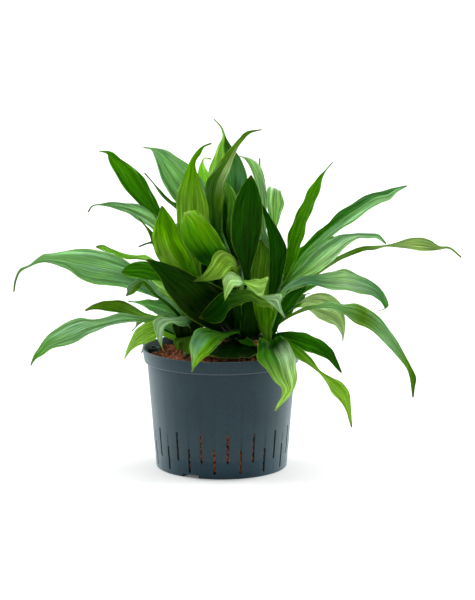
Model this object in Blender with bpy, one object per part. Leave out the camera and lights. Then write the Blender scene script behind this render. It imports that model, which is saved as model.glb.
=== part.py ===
"""A potted dracaena: three leafy stems in clay granules, in a slotted culture pot.

Lengths are in millimetres and angles in degrees; MM turns them into metres where a mesh is made.
The origin is the centre of the pot's flat underside, +Z is up and -Y is the plant's front.
"""

import math
import random

import bmesh
import bpy
import numpy as np
from mathutils import Matrix

MM = 0.001
CLEAR = 0.3

# Pot
POT_HEIGHT = 114.0
RIM_RADIUS = 75.0
COLLAR_FOOT_RADIUS = 73.2
COLLAR_HEIGHT = 12.5
UNDER_COLLAR = POT_HEIGHT - COLLAR_HEIGHT
WALL_TOP_RADIUS = 70.4
BASE_RADIUS = 62.2
BASE_ROUNDING = 1.2
RIM_ROUNDING = 0.6
BAND_HEIGHT = 16.5
BAND_STEP = 0.3
WALL = 2.0
FLOOR = 2.0
POT_SIDES = 60

# Slots in the pot's wall: an upper and a lower row, half a pitch apart
SLOT_COUNT = 16
SLOT_PITCH = 360.0 / SLOT_COUNT
FIRST_UPPER_SLOT = 5.6
SLOT_WIDTH = 2.4
UPPER_SLOT = (15.0, 43.0)
LOWER_SLOT = (4.4, 28.0)
SLOT_END_SIDES = 3

# Drainage recesses under the foot, with the floor raised over each
RECESS_COUNT = 3
FIRST_RECESS = -28.0
RECESS_SPREAD = 16.0
RECESS_HEIGHT = 3.0
RECESS_INNER_RADIUS = 44.0
RECESS_SIDES = 4

# Half tube on the inner wall that takes a water gauge
GUIDE_DIRECTION = 256.0
GUIDE_RADIUS = 6.6
GUIDE_WALL = 1.5
GUIDE_SINK = 1.0
GUIDE_TOP = 110.5
GUIDE_BOTTOM = 78.0
GUIDE_SIDES = 8

# Granules: GRANULE is the spacing of the bumps on top and BUMP their height
SOIL_HEIGHT = 107.6
SOIL_BEVEL = 1.3
GRANULE = 9.0
BUMP = 1.3
SOIL_SIDES = 40
SOIL_RINGS = 10

# Stems: foot x, foot y, top x, top y, top z
STEM_FOOT = 90.0
STEM_RADIUS = 6.0
STEM_TOP_RADIUS = 3.5
STEM_SIDES = 10
STEM_PARTS = 6
STEMS = {
    "left": (-32.0, -8.0, -20.0, 0.0, 182.0),
    "middle": (16.0, 26.0, 16.0, 20.0, 222.0),
    "right": (40.0, 2.0, 56.0, 6.0, 182.0),
}

# Leaves
PART_LENGTH = 18.0
LEAST_PARTS = 4
MOST_PARTS = 10
BLADE_THICK = 1.1
MARGIN_THICK = 0.7
LEAST_HALF_WIDTH = 0.8
ROOT_HALF_WIDTH = 3.0
BASE_HALF_WIDTH = 1.2
BLADE_DROP = 2.0
BLADE_FOLD = 14.0
BLADE_RISE = 1.15
BLADE_FALL = 2.2
BASE_FOLD = 38.0
BASE_FOLD_REACH = 0.28
TIP_FOLD = 10.0
TIP_FOLD_REACH = 0.25
FOLD_MIDDLE = 0.45
STEADINESS = 0.25
EYE = (15.0, -2657.0, 637.0)

# Leaves on the back: their widths, the height of their waves and how many there are
BACK_SEED = 7
BACK_WIDTHS = (24.0, 31.0)
BACK_WAVE = 1.4
BACK_WAVES = (2.0, 3.0)
BACK_POINTS = 5
BEND_POWER = 1.4


def smooth(t):
    t = np.clip(t, 0.0, 1.0)
    return t * t * (3.0 - 2.0 * t)


def seen(x, z, y):
    """A point drawn at (x, z) on the upright plane through the pot's axis, as it shows from
    EYE, and set back along its line of sight until its depth is y."""
    eye = np.array(EYE)
    reach = (y - eye[1]) / -eye[1]
    return eye + (np.array((x, 0.0, z)) - eye) * reach


def stem_point(stem, z):
    foot_x, foot_y, top_x, top_y, top_z = STEMS[stem]
    rise = (z - STEM_FOOT) / (top_z - STEM_FOOT)
    lean = 0.5 * rise + 0.5 * rise * rise
    return np.array((foot_x + (top_x - foot_x) * lean, foot_y + (top_y - foot_y) * lean, z))


def smooth_curve(points, parts):
    """Evenly spaced points along a centripetal curve through the given ones."""
    p = np.asarray(points, float)
    p = np.vstack([2 * p[0] - p[1], p, 2 * p[-1] - p[-2]])
    fine = []
    for i in range(1, len(p) - 2):
        knots = [0.0]
        for k in range(i - 1, i + 2):
            knots.append(knots[-1] + np.linalg.norm(p[k + 1] - p[k]) ** 0.5)
        t0, t1, t2, t3 = knots
        t = np.linspace(t1, t2, 24, endpoint=False)[:, None]
        a1 = ((t1 - t) * p[i - 1] + (t - t0) * p[i]) / (t1 - t0)
        a2 = ((t2 - t) * p[i] + (t - t1) * p[i + 1]) / (t2 - t1)
        a3 = ((t3 - t) * p[i + 1] + (t - t2) * p[i + 2]) / (t3 - t2)
        b1 = ((t2 - t) * a1 + (t - t0) * a2) / (t2 - t0)
        b2 = ((t3 - t) * a2 + (t - t1) * a3) / (t3 - t1)
        fine.append(((t2 - t) * b1 + (t - t1) * b2) / (t2 - t1))
    fine = np.vstack(fine + [p[-2:-1]])
    run = np.concatenate([[0.0], np.cumsum(np.linalg.norm(np.diff(fine, axis=0), axis=1))])
    even = np.linspace(0.0, run[-1], parts + 1)
    return np.stack([np.interp(even, run, column) for column in fine.T], axis=1)


class Leaf:
    """One leaf: the line it follows from its stem, its width, and where its upper face looks.

    face is where the upper face looks from the share blade of the length on, and tip where it
    looks at the very end. wave is the height of the margin's waves, how many there are and
    where they start. peak is the share of the blade's length where it is widest, neck the
    share of its width that it has at the stem, and drip the share of the leaf's length where
    the blade ends and its thread-like tip starts.
    """

    def __init__(self, name, stem, height, width, line, face, blade=0.4, tip=None,
                 wave=(1.2, 2.5, 0.0), peak=0.52, neck=0.42, drip=0.93):
        self.name = name
        self.stem = stem
        self.width = width
        self.line = [stem_point(stem, height)] + [np.asarray(p, float) for p in line]
        self.wave = wave
        self.peak = peak
        self.neck = neck
        self.drip = drip
        looks = [(blade, face)]
        if tip is not None:
            looks.append((1.0, tip))
        self.looks = looks

    def parts(self):
        """How many straight parts the leaf's solid has, by its length."""
        run = sum(math.dist(a, b) for a, b in zip(self.line, self.line[1:]))
        return min(max(round(run / PART_LENGTH), LEAST_PARTS), MOST_PARTS)

    def half_width(self, t):
        reach = np.clip(t / self.drip, 0.0, 1.0)
        rise = self.neck + (1.0 - self.neck) * smooth(reach / self.peak) ** BLADE_RISE
        past = np.clip((reach - self.peak) / (1.0 - self.peak), 0.0, 1.0)
        shape = np.where(reach < self.peak, rise, 1.0 - past ** BLADE_FALL)
        least = LEAST_HALF_WIDTH + (BASE_HALF_WIDTH - LEAST_HALF_WIDTH) * (1.0 - t)
        return np.maximum(0.5 * self.width * shape, least)

    def frames(self, middle, t):
        """The upper face's direction and the side's, at each point of the middle."""
        grow = np.gradient(middle, axis=0)
        grow /= np.linalg.norm(grow, axis=1)[:, None]
        away = middle[int(0.45 * len(middle))] - middle[0]
        away[2] = 0.0
        if np.linalg.norm(away) < 1.0:
            away = middle[-1] - middle[0]
            away[2] = 0.0
        away /= np.linalg.norm(away) + 1e-9
        looks = [(0.0, np.array((0.0, 0.0, 0.8)) - away)] + self.looks
        shares = [share for share, _ in looks]
        ways = [np.asarray(way, float) / np.linalg.norm(way) for _, way in looks]
        up = np.zeros_like(middle)
        for i, share in enumerate(t):
            k = np.searchsorted(shares, share, side="right") - 1
            way = ways[-1]
            if k < len(shares) - 1:
                blend = smooth((share - shares[k]) / (shares[k + 1] - shares[k]))
                way = ways[k] * (1.0 - blend) + ways[k + 1] * blend
            way = way - grow[i] * (way @ grow[i])
            if i:
                carried = up[i - 1] - grow[i] * (up[i - 1] @ grow[i])
                way = way + STEADINESS * carried / (np.linalg.norm(carried) + 1e-9)
            up[i] = way / (np.linalg.norm(way) + 1e-9)
        return up, np.cross(up, grow)

    def surface(self, parts, across):
        """The upper face's points, part by part, and the upward direction of each part."""
        middle = smooth_curve(self.line, parts)
        t = np.linspace(0.0, 1.0, parts + 1)
        up, side = self.frames(middle, t)
        half = self.half_width(t)
        fold = np.radians(BLADE_FOLD + BASE_FOLD * smooth(1.0 - t / BASE_FOLD_REACH)
                          + TIP_FOLD * smooth(1.0 - (1.0 - t) / TIP_FOLD_REACH))
        height, count, start = self.wave
        waving = height * smooth((t - 0.15) / 0.35) * np.clip(2.8 * half / self.width, 0.0, 1.0)
        points = np.zeros((parts + 1, across, 3))
        for j, u in enumerate(np.linspace(-1.0, 1.0, across)):
            edge = abs(u)
            wave = waving * edge ** 2 * np.sin(2 * np.pi * (count * t + start + 0.17 * np.sign(u)))
            lift = half * (edge ** 1.25 - FOLD_MIDDLE) * np.sin(fold) + wave
            points[:, j] = middle + side * (half * u * np.cos(fold))[:, None] + up * lift[:, None]
        return points, up


def cross_row(point, row, half):
    """A narrow row of a Sheet at a point, with its edges in line with those of another row."""
    side = row[0] - row[2]
    side = half * side / np.linalg.norm(side)
    return [point + side, point, point - side]


class Sheet:
    """One leaf laid out in rows from its base to its tip.

    A row holds the blade's left edge, middle and right edge, each as x and z on the upright
    plane through the pot's axis, then the middle's depth and how much deeper the left and the
    right edge lie. Left and right are those of someone who looks from the base along the face
    that shows, which is the upper one unless under is true. tip is x, z and depth.
    """

    def __init__(self, name, stem, height, rows, tip, under=False):
        self.name = name
        self.stem = stem
        grid = [[seen(xl, zl, y + left), seen(xm, zm, y), seen(xr, zr, y + right)]
                for xl, zl, xm, zm, xr, zr, y, left, right in rows]
        grid = [cross_row(stem_point(stem, height), grid[0], ROOT_HALF_WIDTH)] + grid
        grid.append(cross_row(seen(*tip), grid[-1], LEAST_HALF_WIDTH))
        if under:
            grid = [row[::-1] for row in grid]
        self.grid = np.array(grid)

    def parts(self):
        run = np.linalg.norm(np.diff(self.grid[:, 1], axis=0), axis=1).sum()
        return max(round(run / PART_LENGTH), len(self.grid) - 1)

    def surface(self, parts, across):
        """The upper face's points, part by part, and the upward direction of each part."""
        grid = smooth_curve(self.grid.reshape(-1, 9), parts).reshape(-1, 3, 3)
        left, middle, right = grid[:, 0], grid[:, 1], grid[:, 2]
        up = np.cross(np.gradient(middle, axis=0), left - right)
        up /= np.linalg.norm(up, axis=1)[:, None]
        points = np.zeros((parts + 1, across, 3))
        for j, u in enumerate(np.linspace(-1.0, 1.0, across)):
            edge = left if u > 0.0 else right
            points[:, j] = middle + (edge - middle) * abs(u)
        return points, up


def material(name, colour, roughness):
    made = bpy.data.materials.new(name)
    made.use_nodes = True
    shader = made.node_tree.nodes["Principled BSDF"]
    shader.inputs["Base Color"].default_value = (*colour, 1.0)
    shader.inputs["Roughness"].default_value = roughness
    shader.inputs["Metallic"].default_value = 0.0
    return made


def add_object(name, mesh_data, finish=None):
    made = bpy.data.objects.new(name, mesh_data)
    bpy.context.scene.collection.objects.link(made)
    if finish:
        made.data.materials.append(finish)
    return made


def object_from(name, bm, finish=None):
    """An object from a bmesh in millimetres."""
    bmesh.ops.scale(bm, vec=(MM, MM, MM), verts=bm.verts)
    bmesh.ops.recalc_face_normals(bm, faces=bm.faces)
    bmesh.ops.triangulate(bm, faces=[face for face in bm.faces if len(face.verts) > 4])
    mesh_data = bpy.data.meshes.new(name)
    bm.to_mesh(mesh_data)
    bm.free()
    return add_object(name, mesh_data, finish)


def turned(profile, sides, start=0.0):
    """A bmesh turned from an outline of (radius, height); points on the axis close it."""
    bm = bmesh.new()
    verts = [bm.verts.new((r, 0.0, z)) for r, z in profile]
    edges = [bm.edges.new((verts[i], verts[(i + 1) % len(verts)])) for i in range(len(verts))]
    bmesh.ops.spin(bm, geom=verts + edges, cent=(0, 0, 0), axis=(0, 0, 1),
                   angle=2 * math.pi, steps=sides, use_merge=True)
    bmesh.ops.remove_doubles(bm, verts=bm.verts, dist=0.001)
    lines = [edge for edge in bm.edges if not edge.link_faces]
    bmesh.ops.delete(bm, geom=lines, context="EDGES")
    bmesh.ops.rotate(bm, verts=bm.verts, cent=(0, 0, 0),
                     matrix=Matrix.Rotation(math.radians(start), 3, "Z"))
    return bm


def prism(outline, low, high):
    """A bmesh of an (x, y) outline between two heights."""
    bm = bmesh.new()
    face = bm.faces.new([bm.verts.new((x, y, low)) for x, y in outline])
    grown = bmesh.ops.extrude_face_region(bm, geom=[face])
    top = [item for item in grown["geom"] if isinstance(item, bmesh.types.BMVert)]
    bmesh.ops.translate(bm, verts=top, vec=(0, 0, high - low))
    return bm


def boolean(target, tool, operation, solver="EXACT"):
    """Applies a Boolean with one object, which is then removed."""
    made = target.modifiers.new(operation.lower(), "BOOLEAN")
    made.operation = operation
    made.solver = solver
    made.object = tool
    apply_modifiers(target)
    bpy.data.objects.remove(tool)


def boolean_all(target, tools, operation, solver):
    """Applies one Boolean with a collection of objects, which are then removed."""
    group = bpy.data.collections.new(target.name + " pieces")
    bpy.context.scene.collection.children.link(group)
    for tool in tools:
        bpy.context.scene.collection.objects.unlink(tool)
        group.objects.link(tool)
    made = target.modifiers.new(operation.lower(), "BOOLEAN")
    made.operation = operation
    made.solver = solver
    made.operand_type = "COLLECTION"
    made.collection = group
    apply_modifiers(target)
    for tool in tools:
        bpy.data.objects.remove(tool)
    bpy.data.collections.remove(group)


def apply_modifiers(target):
    graph = bpy.context.evaluated_depsgraph_get()
    mesh_data = bpy.data.meshes.new_from_object(target.evaluated_get(graph))
    target.modifiers.clear()
    target.data = mesh_data


def keep_outer_shell(target):
    """Removes all but the largest shell, which fills sealed hollows and drops loose scraps."""
    bm = bmesh.new()
    bm.from_mesh(target.data)
    bmesh.ops.triangulate(bm, faces=bm.faces)
    left = set(bm.faces)
    shells = []
    while left:
        shell = []
        front = [left.pop()]
        while front:
            face = front.pop()
            shell.append(face)
            for edge in face.edges:
                for other in edge.link_faces:
                    if other in left:
                        left.remove(other)
                        front.append(other)
        shells.append(shell)

    def volume(shell):
        total = 0.0
        for face in shell:
            a, b, c = (vert.co for vert in face.verts)
            total += a.dot(b.cross(c)) / 6.0
        return total

    outer = max(shells, key=volume)
    spare = [face for shell in shells if shell is not outer for face in shell]
    bmesh.ops.delete(bm, geom=spare, context="FACES")
    bm.to_mesh(target.data)
    bm.free()


def soften(target, degrees=35.0):
    target.data.shade_smooth()
    target.data.set_sharp_from_angle(angle=math.radians(degrees))


def heading(degrees):
    """The flat direction that lies this far round to the right of the pot's front."""
    turn = math.radians(degrees - 90.0)
    return math.cos(turn), math.sin(turn)


def outer_radius(z):
    """The pot's outer radius between its foot and its collar."""
    return BASE_RADIUS + (WALL_TOP_RADIUS - BASE_RADIUS) * z / UNDER_COLLAR


def pot_profile():
    """Half the pot's section, from the middle of its underside round to that of its floor."""
    return [
        (0.0, 0.0),
        (BASE_RADIUS - BASE_ROUNDING, 0.0),
        (BASE_RADIUS, BASE_ROUNDING),
        (outer_radius(BAND_HEIGHT) - BAND_STEP, BAND_HEIGHT),
        (outer_radius(BAND_HEIGHT), BAND_HEIGHT + BAND_STEP),
        (WALL_TOP_RADIUS, UNDER_COLLAR),
        (COLLAR_FOOT_RADIUS, UNDER_COLLAR + RIM_ROUNDING),
        (RIM_RADIUS, POT_HEIGHT - RIM_ROUNDING),
        (RIM_RADIUS - RIM_ROUNDING, POT_HEIGHT),
        (RIM_RADIUS - WALL + RIM_ROUNDING, POT_HEIGHT),
        (RIM_RADIUS - WALL, POT_HEIGHT - RIM_ROUNDING),
        (COLLAR_FOOT_RADIUS - WALL, UNDER_COLLAR + WALL),
        (WALL_TOP_RADIUS - WALL, UNDER_COLLAR),
        (BASE_RADIUS - WALL, FLOOR + BASE_ROUNDING),
        (BASE_RADIUS - WALL - BASE_ROUNDING, FLOOR),
        (0.0, FLOOR),
    ]


def slot_cutter(degrees, low, high):
    """A round-ended cutter that passes through the wall."""
    half = 0.5 * SLOT_WIDTH
    outline = []
    for centre, start in ((high - half, 0.0), (low + half, 180.0)):
        for step in range(SLOT_END_SIDES + 1):
            turn = math.radians(start + 180.0 * step / SLOT_END_SIDES)
            outline.append((half * math.cos(turn), centre + half * math.sin(turn)))
    bm = prism(outline, BASE_RADIUS - 2.0 * WALL, RIM_RADIUS)
    x, y = heading(degrees)
    stand = Matrix(((-y, 0.0, x), (x, 0.0, y), (0.0, 1.0, 0.0)))
    bmesh.ops.transform(bm, matrix=stand.to_4x4(), verts=bm.verts)
    return object_from("slot cutter", bm)


def sector(degrees, spread, inner, outer, low, high):
    """A block between two radii, spread wide round the pot's axis."""
    outline = []
    steps = range(RECESS_SIDES + 1)
    for radius, order in ((outer, steps), (inner, reversed(steps))):
        for step in order:
            x, y = heading(degrees + spread * (step / RECESS_SIDES - 0.5))
            outline.append((radius * x, radius * y))
    return object_from("sector", prism(outline, low, high))


def pocket(degrees, grow):
    """The raised floor over one drainage recess, made larger by grow."""
    wider = math.degrees((WALL + grow) / RECESS_INNER_RADIUS) * 2.0
    return sector(degrees, RECESS_SPREAD + wider, RECESS_INNER_RADIUS - WALL - grow,
                  BASE_RADIUS - 0.5 * WALL, 0.5 * FLOOR, RECESS_HEIGHT + WALL + grow)


def recess_directions():
    return [FIRST_RECESS + 360.0 / RECESS_COUNT * k for k in range(RECESS_COUNT)]


def guide_shell(grow):
    """The gauge guide: a half tube that leans with the pot's wall, its edges sunk into it."""
    edge = outer_radius(GUIDE_BOTTOM) - WALL + GUIDE_SINK
    outer = GUIDE_RADIUS + grow
    inner = GUIDE_RADIUS - GUIDE_WALL - grow
    centre = edge - 2.0 * GUIDE_SINK
    outline = []
    steps = range(GUIDE_SIDES + 1)
    for radius, order in ((outer, steps), (inner, reversed(steps))):
        arc = []
        for step in order:
            turn = math.radians(90.0 + 180.0 * step / GUIDE_SIDES)
            arc.append((centre + radius * math.cos(turn), radius * math.sin(turn)))
        outline += [(edge, arc[0][1])] + arc + [(edge, arc[-1][1])]
    bm = prism(outline, GUIDE_BOTTOM - grow, GUIDE_TOP + 2.0 * grow)
    slope = (WALL_TOP_RADIUS - BASE_RADIUS) / UNDER_COLLAR
    for vert in bm.verts:
        vert.co.x += slope * (vert.co.z - GUIDE_BOTTOM)
    x, y = heading(GUIDE_DIRECTION)
    round_axis = Matrix(((x, -y, 0.0), (y, x, 0.0), (0.0, 0.0, 1.0)))
    bmesh.ops.transform(bm, matrix=round_axis.to_4x4(), verts=bm.verts)
    return object_from("guide", bm)


def make_pot(finish):
    facet = 360.0 / POT_SIDES
    pot = object_from("pot", turned(pot_profile(), POT_SIDES, FIRST_UPPER_SLOT - 0.5 * facet), finish)
    for degrees in recess_directions():
        boolean(pot, pocket(degrees, 0.0), "UNION")
    boolean(pot, guide_shell(0.0), "UNION")
    cutters = []
    for k in range(SLOT_COUNT):
        upper = FIRST_UPPER_SLOT + SLOT_PITCH * k
        cutters.append(slot_cutter(upper, *UPPER_SLOT))
        cutters.append(slot_cutter(upper + 0.5 * SLOT_PITCH, *LOWER_SLOT))
    for degrees in recess_directions():
        cutters.append(sector(degrees, RECESS_SPREAD, RECESS_INNER_RADIUS, RIM_RADIUS,
                              -RECESS_HEIGHT, RECESS_HEIGHT))
    boolean_all(pot, cutters, "DIFFERENCE", "EXACT")
    soften(pot)
    return pot


def bump_height(x, y):
    """How far the granules' surface stands above its mean height at a place."""
    rows = math.sin(2 * math.pi * x / GRANULE) * math.cos(2 * math.pi * y / GRANULE + 0.6)
    drift = math.sin(x / 17.0 + 1.3) * math.cos(y / 21.0 - 0.4)
    return BUMP * (0.7 * rows + 0.5 * drift)


def make_substrate(finish):
    low = FLOOR + CLEAR
    side_top = SOIL_HEIGHT - SOIL_BEVEL
    collar_slope = (RIM_RADIUS - COLLAR_FOOT_RADIUS) / (COLLAR_HEIGHT - WALL)
    top_radius = COLLAR_FOOT_RADIUS - WALL - CLEAR + collar_slope * (side_top - UNDER_COLLAR - WALL)
    profile = [
        (0.0, low),
        (BASE_RADIUS - WALL - BASE_ROUNDING - CLEAR, low),
        (BASE_RADIUS - WALL - CLEAR, low + BASE_ROUNDING),
        (WALL_TOP_RADIUS - WALL - CLEAR, UNDER_COLLAR + CLEAR),
        (COLLAR_FOOT_RADIUS - WALL - CLEAR, UNDER_COLLAR + WALL + CLEAR),
        (top_radius, side_top),
    ]
    for ring in range(SOIL_RINGS):
        profile.append(((top_radius - SOIL_BEVEL) * (1.0 - ring / SOIL_RINGS), SOIL_HEIGHT))
    profile.append((0.0, SOIL_HEIGHT))
    bm = turned(profile, SOIL_SIDES)
    for vert in bm.verts:
        x, y, z = vert.co
        if z > side_top + 0.5 * SOIL_BEVEL and math.hypot(x, y) < top_radius - 2.0 * SOIL_BEVEL:
            vert.co.z = z + bump_height(x, y)
    soil = object_from("substrate", bm, finish)
    cutters = [guide_shell(CLEAR)]
    cutters += [pocket(degrees, CLEAR) for degrees in recess_directions()]
    cutters += [stem_solid(stem, CLEAR) for stem in STEMS]
    boolean_all(soil, cutters, "DIFFERENCE", "EXACT")
    return soil


def stem_solid(stem, grow):
    """A stem as a tapered round bar, made larger by grow."""
    top = STEMS[stem][4]
    bm = bmesh.new()
    rings = []
    for part in range(STEM_PARTS + 1):
        share = part / STEM_PARTS
        centre = stem_point(stem, STEM_FOOT + (top - STEM_FOOT) * share)
        radius = STEM_RADIUS + (STEM_TOP_RADIUS - STEM_RADIUS) * share + grow
        if part == 0:
            centre[2] -= grow
        ring = []
        for k in range(STEM_SIDES):
            turn = 2 * math.pi * k / STEM_SIDES
            ring.append(bm.verts.new((centre[0] + radius * math.cos(turn),
                                      centre[1] + radius * math.sin(turn), centre[2])))
        rings.append(ring)
    for low, high in zip(rings, rings[1:]):
        for k in range(STEM_SIDES):
            n = (k + 1) % STEM_SIDES
            bm.faces.new((low[k], low[n], high[n], high[k]))
    bm.faces.new(rings[0][::-1])
    bm.faces.new(rings[-1])
    return object_from("stem " + stem, bm)


def leaf_solid(leaf):
    """A leaf's blade as a closed solid, with both faces split into triangles alike."""
    parts = leaf.parts()
    top, up = leaf.surface(parts, 3)
    thick = np.array((MARGIN_THICK, BLADE_THICK, MARGIN_THICK))
    bm = bmesh.new()
    rows = []
    for i in range(parts + 1):
        over = [bm.verts.new(p) for p in top[i]]
        under = [bm.verts.new(p - up[i] * h) for p, h in zip(top[i], thick)]
        rows.append((over, under))
    for (over, under), (next_over, next_under) in zip(rows, rows[1:]):
        for j in range(2):
            for low, high, flip in ((over, next_over, False), (under, next_under, True)):
                a, b, c, d = low[j], low[j + 1], high[j + 1], high[j]
                split = [(a, b, c), (a, c, d)] if j else [(a, b, d), (b, c, d)]
                for corners in split:
                    bm.faces.new(corners[::-1] if flip else corners)
        for j, flip in ((0, False), (2, True)):
            a, b, c, d = under[j], over[j], next_over[j], next_under[j]
            for corners in ((a, b, c), (a, c, d)):
                bm.faces.new(corners[::-1] if flip else corners)
    for (over, under), flip in ((rows[0], True), (rows[-1], False)):
        for j in range(2):
            corners = (under[j], under[j + 1], over[j + 1], over[j])
            bm.faces.new(corners[::-1] if flip else corners)
    return object_from("leaf " + leaf.name, bm)


def drawn(points):
    """A leaf's line from points on its blade's middle, which its fold and thickness lower."""
    return [seen(x, z + BLADE_DROP, y) for x, z, y in points]


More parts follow.
